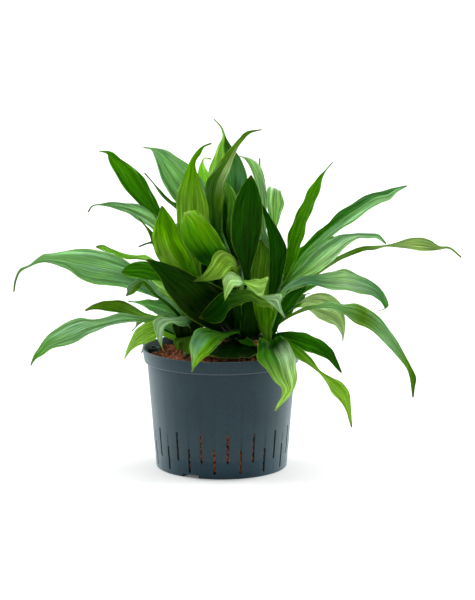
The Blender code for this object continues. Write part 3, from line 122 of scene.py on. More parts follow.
# Shape of every stone, drawn at random: its lumps, how far it is squashed and the least angle of
# an edge that stays sharp
STONE_SEED = 23
STONE_LUMPS = 0.13
LUMP_PITCH = 2.6
LUMP_RANGE = 1.5
STONE_SQUASH = (0.82, 1.0)
STONE_SHARP = 60.0

# Stones on top: their spacing, that of their rows as a share of it, and two layers, each with its
# depth, how far its stones stray and the share of them that is kept
STONE_SPACING = 4.3
STONE_ROWS = 0.87
STONE_RADII = (1.9, 3.0)
STONE_LAYERS = ((2.6, 1.2, 1.0), (0.6, 1.9, 0.55))
STONE_RISE = 0.5
STONE_WALL_GAP = 0.2
STONE_STEM_REACH = 0.8
GUIDE_AXIS_INSET = 2.0

# Stones behind a slot: where they start and end beside it, their steps, radii, turn to either
# side and gap to the wall, and the least share of the paler clay in their colour, which paints
# the light that reaches them through the slot
WALL_STONE_FOOT = 3.4
WALL_STONE_OVER = 1.0
WALL_STONE_STEP = 3.4
WALL_STONE_STRAY = (-0.5, 0.9)
WALL_STONE_RADII = (2.1, 2.9)
WALL_STONE_TURN = (0.2, 1.3)
WALL_STONE_GAP = 0.15
WALL_STONE_PAINTED_LIGHT = 0.9

# Stems: foot x, foot y, top x, top y, top z
STEM_FOOT = 90.0
STEM_RADIUS = 6.0
STEM_TOP_RADIUS = 3.5
STEM_SIDES = 24
STEM_PARTS = 90
SCAR_SPACING = 6.0
SCAR_DEPTH = 0.35
SCAR_POWER = 4
STEMS = {
    "left": (-32.0, -8.0, -20.0, 0.0, 182.0),
    "middle": (16.0, 26.0, 16.0, 20.0, 222.0),
    "right": (40.0, 2.0, 56.0, 6.0, 182.0),
}

# Mesh of a leaf: the length of its parts, the places of its points across it from one edge at -1
# to the other at 1, the least angle of an edge that stays sharp, and the step between the seeds
PART_LENGTH = 2.8
LEAST_PARTS = 16
CURVE_STEPS = 24
ACROSS = np.concatenate([[-1.0], np.linspace(-0.96, 0.96, 25), [1.0]])
LEAF_SHARP = 55.0
SEED_STEP = 0.618

# Leaves: thickness, least widths, and how steeply the width grows and shrinks along a blade
BLADE_THICK = 0.55
MARGIN_THICK = 0.25
LEAST_HALF_WIDTH = 0.8
ROOT_HALF_WIDTH = 3.0
BASE_HALF_WIDTH = 1.2
BLADE_RISE = 1.15
BLADE_FALL = 2.2

# Fold of a leaf along its middle, the way its face looks at its base, and how steadily that
# way is carried along
BLADE_DROP = 2.0
BLADE_FOLD = 14.0
BASE_FOLD = 38.0
BASE_FOLD_REACH = 0.28
TIP_FOLD = 10.0
TIP_FOLD_REACH = 0.25
FOLD_MIDDLE = 0.45
FOLD_POWER = 1.25
BASE_LOOK = 0.8
AWAY_SHARE = 0.45
STEADINESS = 1.4

# Margin waves, pleats and ripples of a leaf, and the crown of a leaf that is laid out in rows
WAVE_START = 0.15
WAVE_RUN = 0.35
WAVE_REACH = 2.8
WAVE_OFFSET = 0.17
RELIEF_REACH = 1.4
PLEAT_WIDTH = 6.5
PLEAT_HEIGHT = 0.42
RIPPLE = 0.9
RIPPLES = 6.3
RIPPLE_SLANT = 1.9
HALF_CROWN = 0.09

# Place that the leaves are drawn from
EYE = (15.0, -2657.0, 637.0)

# Leaves on the back: their widths, the height of their waves, how many waves there are, the
# points and the bend of their lines, and how their faces look out
BACK_SEED = 7
BACK_WIDTHS = (24.0, 31.0)
BACK_WAVE = 1.4
BACK_WAVES = (2.0, 3.0)
BACK_POINTS = 5
BEND_POWER = 1.4
BACK_LEAN = 0.4
BACK_TIP_LIFT = 0.5

# Greens of a leaf: its upper face and its underside. Besides the leaves' own greens, black and
# deep paint the shade inside the plant, and light, pale, grey and silver paint sheen on the
# leaves. TONE_BLEND says how fast the greens of its right half give way to those of its left half
TONE_BLEND = 4.0
TONES = {
    "black": ((0.002, 0.024, 0.000), (0.006, 0.040, 0.001)),
    "deep": ((0.001, 0.058, 0.000), (0.008, 0.075, 0.002)),
    "dark": ((0.008, 0.104, 0.000), (0.030, 0.160, 0.008)),
    "moss": ((0.055, 0.190, 0.012), (0.090, 0.240, 0.030)),
    "green": ((0.040, 0.240, 0.001), (0.090, 0.300, 0.020)),
    "bright": ((0.088, 0.330, 0.000), (0.130, 0.400, 0.030)),
    "yellow": ((0.165, 0.450, 0.000), (0.200, 0.500, 0.030)),
    "lime": ((0.300, 0.560, 0.050), (0.360, 0.600, 0.110)),
    "light": ((0.440, 0.720, 0.160), (0.460, 0.700, 0.220)),
    "pale": ((0.420, 0.580, 0.260), (0.460, 0.600, 0.320)),
    "bluish": ((0.130, 0.350, 0.150), (0.200, 0.410, 0.190)),
    "grey": ((0.270, 0.520, 0.250), (0.330, 0.560, 0.280)),
    "silver": ((0.460, 0.700, 0.420), (0.470, 0.680, 0.400)),
    "olive": ((0.130, 0.300, 0.014), (0.220, 0.400, 0.070)),
}

# Shine of the leaves and of the pot, and the height of the painted shadow line under the
# collar's lower edge and of the painted highlight line on it
LEAF_GLOSS = 0.12
PLASTIC_GLOSS = 0.2
PLASTIC_SHEEN = 0.4
LIP_SHADOW_AND_HIGHLIGHT = 1.4

# Studio: half the floor's side in metres, its two shades and own glow, and the room's brightness
FLOOR_REACH = 9.0
FLOOR_SHADES = (0.88, 0.90)
FLOOR_GLOW = 0.12
ROOM_FRONT = 0.10
ROOM_BACK = 0.85
ROOM_FADE = (-0.5, 0.6)

# Lights from far away: the direction that each comes from, its strength and its spread
LIGHTS = {
    "left light": ((-1.0, 0.5, 0.55), 2.4, 50.0),
    "right light": ((1.0, 0.5, 0.55), 2.8, 50.0),
    "top light": ((0.0, 0.3, 1.0), 1.0, 60.0),
}

# Camera, in metres
CAMERA_PLACE = Vector((0.015, -2.657, 0.637))
CAMERA_AIM = Vector((0.0152, 0.0, 0.15915))
CAMERA_LENS = 171.5
SENSOR = 36.0


def smooth(t):
    t = np.clip(t, 0.0, 1.0)
    return t * t * (3.0 - 2.0 * t)


def seen(x, z, y):
    """A point drawn at (x, z) on the upright plane through the pot's axis, as it shows from
    EYE, and set back along its line of sight until its depth is y."""
    eye = np.array(EYE)
    reach = (y - eye[1]) / -eye[1]
    return eye + (np.array((x, 0.0, z)) - eye) * reach


def stem_point(stem, z):
    """The place of a stem's middle at a height."""
    foot_x, foot_y, top_x, top_y, top_z = STEMS[stem]
    rise = (z - STEM_FOOT) / (top_z - STEM_FOOT)
    lean = 0.5 * rise + 0.5 * rise * rise
    return np.array((foot_x + (top_x - foot_x) * lean, foot_y + (top_y - foot_y) * lean, z))


def smooth_curve(points, parts):
    """Evenly spaced points along a centripetal curve through the given ones."""
    p = np.asarray(points, float)
    p = np.vstack([2 * p[0] - p[1], p, 2 * p[-1] - p[-2]])
    fine = []
    for i in range(1, len(p) - 2):
        knots = [0.0]
        for k in range(i - 1, i + 2):
            knots.append(knots[-1] + np.linalg.norm(p[k + 1] - p[k]) ** 0.5)
        t0, t1, t2, t3 = knots
        t = np.linspace(t1, t2, CURVE_STEPS, endpoint=False)[:, None]
        a1 = ((t1 - t) * p[i - 1] + (t - t0) * p[i]) / (t1 - t0)
        a2 = ((t2 - t) * p[i] + (t - t1) * p[i + 1]) / (t2 - t1)
        a3 = ((t3 - t) * p[i + 1] + (t - t2) * p[i + 2]) / (t3 - t2)
        b1 = ((t2 - t) * a1 + (t - t0) * a2) / (t2 - t0)
        b2 = ((t3 - t) * a2 + (t - t1) * a3) / (t3 - t1)
        fine.append(((t2 - t) * b1 + (t - t1) * b2) / (t2 - t1))
    fine = np.vstack(fine + [p[-2:-1]])
    run = np.concatenate([[0.0], np.cumsum(np.linalg.norm(np.diff(fine, axis=0), axis=1))])
    even = np.linspace(0.0, run[-1], parts + 1)
    return np.stack([np.interp(even, run, column) for column in fine.T], axis=1)


def relief(u, t, half, seed):
    """How far the pleats and ripples of a blade stand up at u across it, for each share t."""
    spread = np.clip(RELIEF_REACH * half / half.max(), 0.0, 1.0)
    pleats = max(round(2.0 * half.max() / PLEAT_WIDTH), 2)
    pleat = PLEAT_HEIGHT * math.cos(math.pi * pleats * u)
    ripple = np.sin(2 * np.pi * (RIPPLES * t + RIPPLE_SLANT * u + seed))
    return spread * (pleat + RIPPLE * abs(u) * ripple)


class Leaf:
    """One leaf: the line it follows from its stem, its width, and where its upper face looks.

    tone names its greens from base to tip, split by spaces; for many leaves they paint shade and
    sheen as well as the leaf's own green. face is where the upper face looks from the share blade
    of the length on, and tip where it looks at the very end. wave is the height of the margin's
    waves, how many there are and where they start. peak is the share of the blade's length where
    it is widest, neck the share of its width that it has at the stem, and drip the share of the
    leaf's length where the blade ends and its thread-like tip starts.
    """

    def __init__(self, stem, height, width, tone, line, face, blade=0.4, tip=None,
                 wave=(1.2, 2.5, 0.0), peak=0.52, neck=0.42, drip=0.93):
        self.stem = stem
        self.width = width
        self.tone = tone
        self.right_tone = tone
        self.line = [stem_point(stem, height)] + [np.asarray(p, float) for p in line]
        self.wave = wave
        self.peak = peak
        self.neck = neck
        self.drip = drip
        self.looks = [(blade, face)]
        if tip is not None:
            self.looks.append((1.0, tip))

    def parts(self):
        """How many parts the leaf's mesh has along it."""
        run = sum(math.dist(a, b) for a, b in zip(self.line, self.line[1:]))
        return max(round(run / PART_LENGTH), LEAST_PARTS)

    def half_width(self, t):
        reach = np.clip(t / self.drip, 0.0, 1.0)
        rise = self.neck + (1.0 - self.neck) * smooth(reach / self.peak) ** BLADE_RISE
        past = np.clip((reach - self.peak) / (1.0 - self.peak), 0.0, 1.0)
        shape = np.where(reach < self.peak, rise, 1.0 - past ** BLADE_FALL)
        least = LEAST_HALF_WIDTH + (BASE_HALF_WIDTH - LEAST_HALF_WIDTH) * (1.0 - t)
        return np.maximum(0.5 * self.width * shape, least)

    def frames(self, middle, t):
        """The upper face's direction and the side's, at each point of the middle."""
        grow = np.gradient(middle, axis=0)
        grow /= np.linalg.norm(grow, axis=1)[:, None]
        away = middle[int(AWAY_SHARE * len(middle))] - middle[0]
        away[2] = 0.0
        away /= np.linalg.norm(away) + 1e-9
        looks = [(0.0, np.array((0.0, 0.0, BASE_LOOK)) - away)] + self.looks
        shares = [share for share, _ in looks]
        ways = [np.asarray(way, float) / np.linalg.norm(way) for _, way in looks]
        up = np.zeros_like(middle)
        for i, share in enumerate(t):
            k = np.searchsorted(shares, share, side="right") - 1
            way = ways[-1]
            if k < len(shares) - 1:
                blend = smooth((share - shares[k]) / (shares[k + 1] - shares[k]))
                way = ways[k] * (1.0 - blend) + ways[k + 1] * blend
            way = way - grow[i] * (way @ grow[i])
            if i:
                carried = up[i - 1] - grow[i] * (up[i - 1] @ grow[i])
                way = way + STEADINESS * carried / (np.linalg.norm(carried) + 1e-9)
            up[i] = way / (np.linalg.norm(way) + 1e-9)
        return up, np.cross(up, grow)

    def surface(self, seed):
        """The upper face's points, part by part, and the upward direction of each part."""
        parts = self.parts()
        middle = smooth_curve(self.line, parts)
        t = np.linspace(0.0, 1.0, parts + 1)
        up, side = self.frames(middle, t)
        half = self.half_width(t)
        fold = np.radians(BLADE_FOLD + BASE_FOLD * smooth(1.0 - t / BASE_FOLD_REACH)
                          + TIP_FOLD * smooth(1.0 - (1.0 - t) / TIP_FOLD_REACH))
        height, count, start = self.wave
        waving = height * smooth((t - WAVE_START) / WAVE_RUN)
        waving = waving * np.clip(WAVE_REACH * half / self.width, 0.0, 1.0)
        points = np.zeros((parts + 1, len(ACROSS), 3))
        for j, u in enumerate(ACROSS):
            edge = abs(u)
            turns = count * t + start + WAVE_OFFSET * np.sign(u)
            wave = waving * edge ** 2 * np.sin(2 * np.pi * turns)
            lift = half * (edge ** FOLD_POWER - FOLD_MIDDLE) * np.sin(fold) + wave
            lift += relief(u, t, half, seed)
            points[:, j] = middle + side * (half * u * np.cos(fold))[:, None] + up * lift[:, None]
        return points, up


def cross_row(point, row, half):
    """A narrow row of a Sheet at a point, with its edges in line with those of another row."""
    side = row[0] - row[2]
    side = half * side / np.linalg.norm(side)
    return [point + side, point, point - side]


class Sheet:
    """One leaf laid out in rows from its base to its tip.

    A row holds the blade's left edge, middle and right edge, each as x and z on the upright
    plane through the pot's axis, then the middle's depth and how much deeper the left and the
    right edge lie. Left and right are those of someone who looks from the base along the face
    that shows, which is the upper one unless under is true. tip is x, z and depth. tone
    names the blade's greens from base to tip, split by spaces; they paint its shade and sheen
    as well as its own green. The greens of its right half are those of right_tone, where it is
    given.
    """

    def __init__(self, stem, height, tone, rows, tip, under=False, right_tone=None):
        self.stem = stem
        self.tone = tone
        self.right_tone = right_tone or tone
        grid = [[seen(xl, zl, y + left), seen(xm, zm, y), seen(xr, zr, y + right)]
                for xl, zl, xm, zm, xr, zr, y, left, right in rows]
        grid = [cross_row(stem_point(stem, height), grid[0], ROOT_HALF_WIDTH)] + grid
        grid.append(cross_row(seen(*tip), grid[-1], LEAST_HALF_WIDTH))
        if under:
            grid = [row[::-1] for row in grid]
        self.grid = np.array(grid)

    def parts(self):
        """How many parts the leaf's mesh has along it."""
        run = np.linalg.norm(np.diff(self.grid[:, 1], axis=0), axis=1).sum()
        return max(round(run / PART_LENGTH), len(self.grid) - 1)

    def surface(self, seed):
        """The upper face's points, part by part, and the upward direction of each part."""
        parts = self.parts()
        grid = smooth_curve(self.grid.reshape(-1, 9), parts).reshape(-1, 3, 3)
        left, middle, right = grid[:, 0], grid[:, 1], grid[:, 2]
        up = np.cross(np.gradient(middle, axis=0), left - right)
        up /= np.linalg.norm(up, axis=1)[:, None]
        t = np.linspace(0.0, 1.0, parts + 1)
        half = 0.5 * np.linalg.norm(left - right, axis=1)
        points = np.zeros((parts + 1, len(ACROSS), 3))
        for j, u in enumerate(ACROSS):
            edge = left if u > 0.0 else right
            crown = 4.0 * HALF_CROWN * half * abs(u) * (1.0 - abs(u))
            lift = crown + relief(u, t, half, seed)
            points[:, j] = middle + (edge - middle) * abs(u) + up * lift[:, None]
        return points, up


def drawn(points):
    """A leaf's line from points on its blade's middle, which its fold and thickness lower."""
    return [seen(x, z + BLADE_DROP, y) for x, z, y in points]


# The left stem's leaves that show from the front, with shade and sheen painted into their greens. A
# line's points are x, z and depth
LEFT_LEAVES = [
    # Far left
    Sheet("left", 150, "bright bluish grey grey moss", [
        (-56, 159, -57, 168, -58, 176, 10, -2, 2), (-72, 165, -74, 177, -75, 187, 12, -4, 4),
        (-91, 171, -92, 186, -93, 199, 13, -5, 5), (-107, 173, -107, 190, -108, 205, 14, -5, 5),
        (-122, 175, -123, 193, -124, 208, 13, -5, 5), (-134, 180, -135, 195, -137, 208, 12, -4, 4),
        (-144, 188, -147, 198, -149, 206, 10, -3, 3), (-154, 192, -156, 199, -158, 204, 8, -2, 2),
        (-165, 195, -167, 199, -168, 203, 6, -1, 1), (-173, 194, -174, 196, -175, 198, 4, 0, 0),
        (-180, 191, -180, 192, -181, 193, 3, 0, 0), (-189, 186, -189, 187, -190, 189, 1, 0, 0),
        (-193, 178, -194, 179, -195, 179, -1, 0, 0)], (-196, 167, -2)),
    # Low left
    Sheet("left", 124, "bluish grey grey grey bright", [
        (-60, 134, -60, 138, -60, 141, -20, -1, 1), (-77, 138, -78, 141, -79, 144, -26, -1, 1),
        (-94, 137, -94, 142, -95, 147, -30, -2, 2), (-107, 134, -108, 139, -109, 143, -32, -2, 2),
        (-117, 130, -120, 136, -122, 141, -34, -3, 3), (-126, 126, -130, 134, -134, 142, -35, -3, 3),
        (-137, 119, -142, 129, -147, 138, -36, -3, 3), (-149, 115, -153, 124, -157, 131, -37, -3, 3),
        (-161, 112, -164, 118, -167, 123, -37, -2, 2), (-169, 106, -171, 110, -174, 112, -38, 0, 0),
        (-176, 102, -177, 104, -178, 106, -38, 0, 0)], (-181, 96, -38)),
    # Low left strip
    Sheet("left", 122, "pale light olive olive", [
        (-56, 136, -56, 140, -56, 142, -6, -1, 1), (-67, 140, -67, 143, -66, 145, -7, -1, 1),
        (-79, 142, -78, 146, -77, 149, -8, -2, 2), (-88, 145, -88, 151, -87, 156, -8, -3, 3),
        (-100, 147, -100, 153, -99, 159, -8, -3, 3), (-111, 149, -111, 154, -111, 158, -8, -2, 2),
        (-120, 150, -121, 153, -121, 155, -8, 0, 0)], (-129, 149, -8)),
    # Upper left
    Sheet("left", 168, "bright green bright", [
        (-52, 220, -47, 222, -42, 224, 28, -1, 1), (-67, 244, -62, 244, -56, 244, 36, -1, 1),
        (-78, 251, -69, 252, -61, 254, 40, -2, 2), (-89, 263, -77, 263, -66, 264, 45, -3, 3),
        (-97, 275, -85, 276, -73, 276, 48, -3, 3), (-103, 286, -93, 287, -83, 286, 50, -3, 3),
        (-106, 294, -100, 294, -94, 293, 50, -2, 2), (-107, 298, -105, 299, -102, 300, 50, 0, 0)],
        (-115, 301, 50)),
    # Low shade left: a black sheet that paints the shade low among the leaves
    Sheet("left", 112, "black", [
        (-44, 126, -33, 127, -22, 126, -17, 0, 0), (-46, 138, -33, 140, -18, 140, -16, 0, 0)],
        (-30, 153, -14)),
    # Over rim left
    Sheet("left", 118, "lime lime light", [
        (-60, 125, -59, 129, -58, 132, -26, -1, 1), (-62, 121, -63, 131, -65, 140, -32, -3, 3),
        (-71, 118, -73, 127, -76, 135, -38, -4, 4), (-79, 115, -80, 122, -83, 128, -42, -3, 3),
        (-84, 112, -85, 116, -87, 119, -45, -2, 2), (-89, 106, -89, 109, -90, 111, -47, 0, 0)],
        (-92, 102, -48)),
    # Small fold left
    Sheet("left", 132, "dark bluish silver silver light", [
        (-32, 134, -30, 140, -28, 145, -22, -1, 1), (-39, 134, -38, 140, -37, 144, -28, -1, 1),
        (-48, 137, -47, 140, -47, 142, -33, -1, 1), (-54, 132, -55, 138, -57, 143, -37, -2, 2),
        (-55, 127, -59, 132, -65, 139, -41, -1, 1), (-56, 122, -59, 126, -64, 131, -43, 0, 0),
        (-56, 115, -58, 118, -60, 120, -44, 0, 0)], (-54, 109, -44)),
    # Left upper strip
    Sheet("left", 158, "olive light light", [
        (-67, 195, -69, 198, -70, 202, 22, -1, 1), (-79, 198, -80, 200, -81, 202, 26, -1, 1),
        (-89, 198, -90, 201, -92, 204, 29, -1, 1), (-102, 203, -103, 206, -103, 208, 31, -1, 1),
        (-111, 206, -111, 209, -111, 212, 32, -1, 1)], (-118, 210, 32)),
    # Sheath left
    Sheet("left", 119, "moss olive", [
        (-28, 124, -35, 123, -43, 121, -20, 0, 0), (-29, 113, -34, 113, -39, 112, -31, 0, 0)],
        (-31, 107, -38)),
    # Narrow dark left
    Sheet("left", 126, "dark dark moss olive", [
        (-42, 144, -41, 148, -40, 152, -22, 0, 1), (-53, 155, -51, 158, -49, 160, -26, 0, 1),
        (-63, 163, -61, 165, -59, 168, -28, 0, 2), (-70, 170, -67, 173, -65, 177, -30, 0, 3),
        (-75, 175, -73, 178, -72, 182, -32, 0, 2), (-77, 171, -80, 175, -82, 178, -36, 0, 2),
        (-80, 168, -84, 171, -89, 172, -39, 0, 2), (-83, 165, -86, 166, -89, 167, -40, 0, 0)],
        (-90, 163, -41), right_tone="grey"),
    # Pale underside left
    Sheet("left", 134, "light", [
        (-48, 159, -45, 162, -42, 165, -18, 0, 0), (-61, 168, -57, 171, -52, 174, -22, 1, 1),
        (-68, 173, -64, 176, -58, 178, -25, 2, 2), (-71, 178, -67, 180, -63, 180, -27, 1, 1)],
        (-70, 182, -28), under=True),
    # Folded front
    Sheet("left", 160, "green green dark bright lime", [
        (-9, 186, -2, 189, 5, 193, -4, 1, 1), (-20, 195, -8, 201, 6, 204, -9, 2, 2),
        (-31, 206, -15, 213, 1, 214, -14, 3, 3), (-37, 217, -23, 225, -6, 226, -17, 4, 3),
        (-38, 227, -28, 235, -14, 236, -18, 4, 3), (-36, 237, -32, 240, -21, 242, -18, 2, 2),
        (-35, 243, -31, 244, -25, 245, -19, 0, 0)], (-33, 239, -24),
        right_tone="bright green green yellow lime"),
    # Yellow front
    Sheet("left", 150, "green bright lime yellow bright", [
        (-35, 169, -28, 171, -21, 174, -6, 1, 1), (-50, 187, -38, 190, -24, 188, -6, 3, 3),
        (-61, 201, -48, 205, -28, 201, -4, 4, 4), (-65, 217, -53, 218, -37, 216, -2, 4, 4),
        (-63, 230, -56, 231, -44, 234, 0, 2, 3), (-59, 241, -56, 242, -51, 244, 2, 1, 1)],
        (-56, 249, 3), right_tone="green bright yellow bright"),
    # Upright pale
    Sheet("left", 176, "yellow lime lime yellow bright", [
        (-35, 196, -28, 196, -19, 196, 6, -1, -1), (-40, 217, -29, 217, -16, 217, 8, -2, -2),
        (-42, 238, -29, 238, -12, 238, 8, -3, -2), (-42, 254, -29, 254, -13, 252, 10, -3, -3),
        (-39, 268, -28, 269, -18, 266, 12, -3, -3), (-34, 280, -27, 281, -22, 278, 14, -2, -2),
        (-29, 292, -26, 292, -24, 290, 16, -1, -1), (-23, 301, -21, 300, -19, 298, 17, -1, -1),
        (-17, 306, -17, 305, -16, 304, 18, 0, 0)], (-9, 308, 18)),
    # Low left back
    Leaf("left", 128, 23, "grey", drawn([
        (-36, 140, 12), (-52, 147, 16), (-70, 153, 18), (-88, 156, 18)]), (0, -0.5, 1)),
    # Curled tip left
    Leaf("left", 172, 18, "silver silver grey bluish", drawn([
        (-36, 204, 18), (-52, 223, 26), (-67, 235, 32), (-82, 243, 34), (-97, 247, 34), (-112, 248, 34),
        (-121, 247, 33), (-125, 241, 32)]), (0, -0.8, 0.9)),
    # Sliver left
    Leaf("left", 166, 9, "olive", drawn([
        (-46, 196, 8), (-60, 209, 10), (-67, 222, 12), (-74, 231, 12), (-77, 235, 12)]),
        (0.2, -1, 0.2)),
    # Small tip left
    Leaf("left", 156, 9, "dark", drawn([
        (-38, 192, 12), (-53, 209, 18), (-66, 212, 20), (-78, 208, 20)]), (0, -1, 0.5)),
    # Inner dark left
    Leaf("left", 118, 30, "deep", drawn([
        (-23, 138, 9), (-18, 163, 19), (-12, 190, 26), (-8, 214, 27)]), (0, -1, 0.2),
        neck=0.55, drip=1.0),
    # Inner low left
    Leaf("left", 112, 22, "dark", drawn([
        (-40, 122, 4), (-49, 129, 12), (-60, 132, 20)]), (0, -0.6, 1), drip=1.0),
    # Sheath front left
    Leaf("left", 110, 9, "olive", drawn([
        (-38, 118, -20), (-42, 117, -28), (-41, 108, -34)]), (0, -0.3, 1), blade=0.5,
        tip=(-0.5, -1, 0.3), drip=1.0),
]
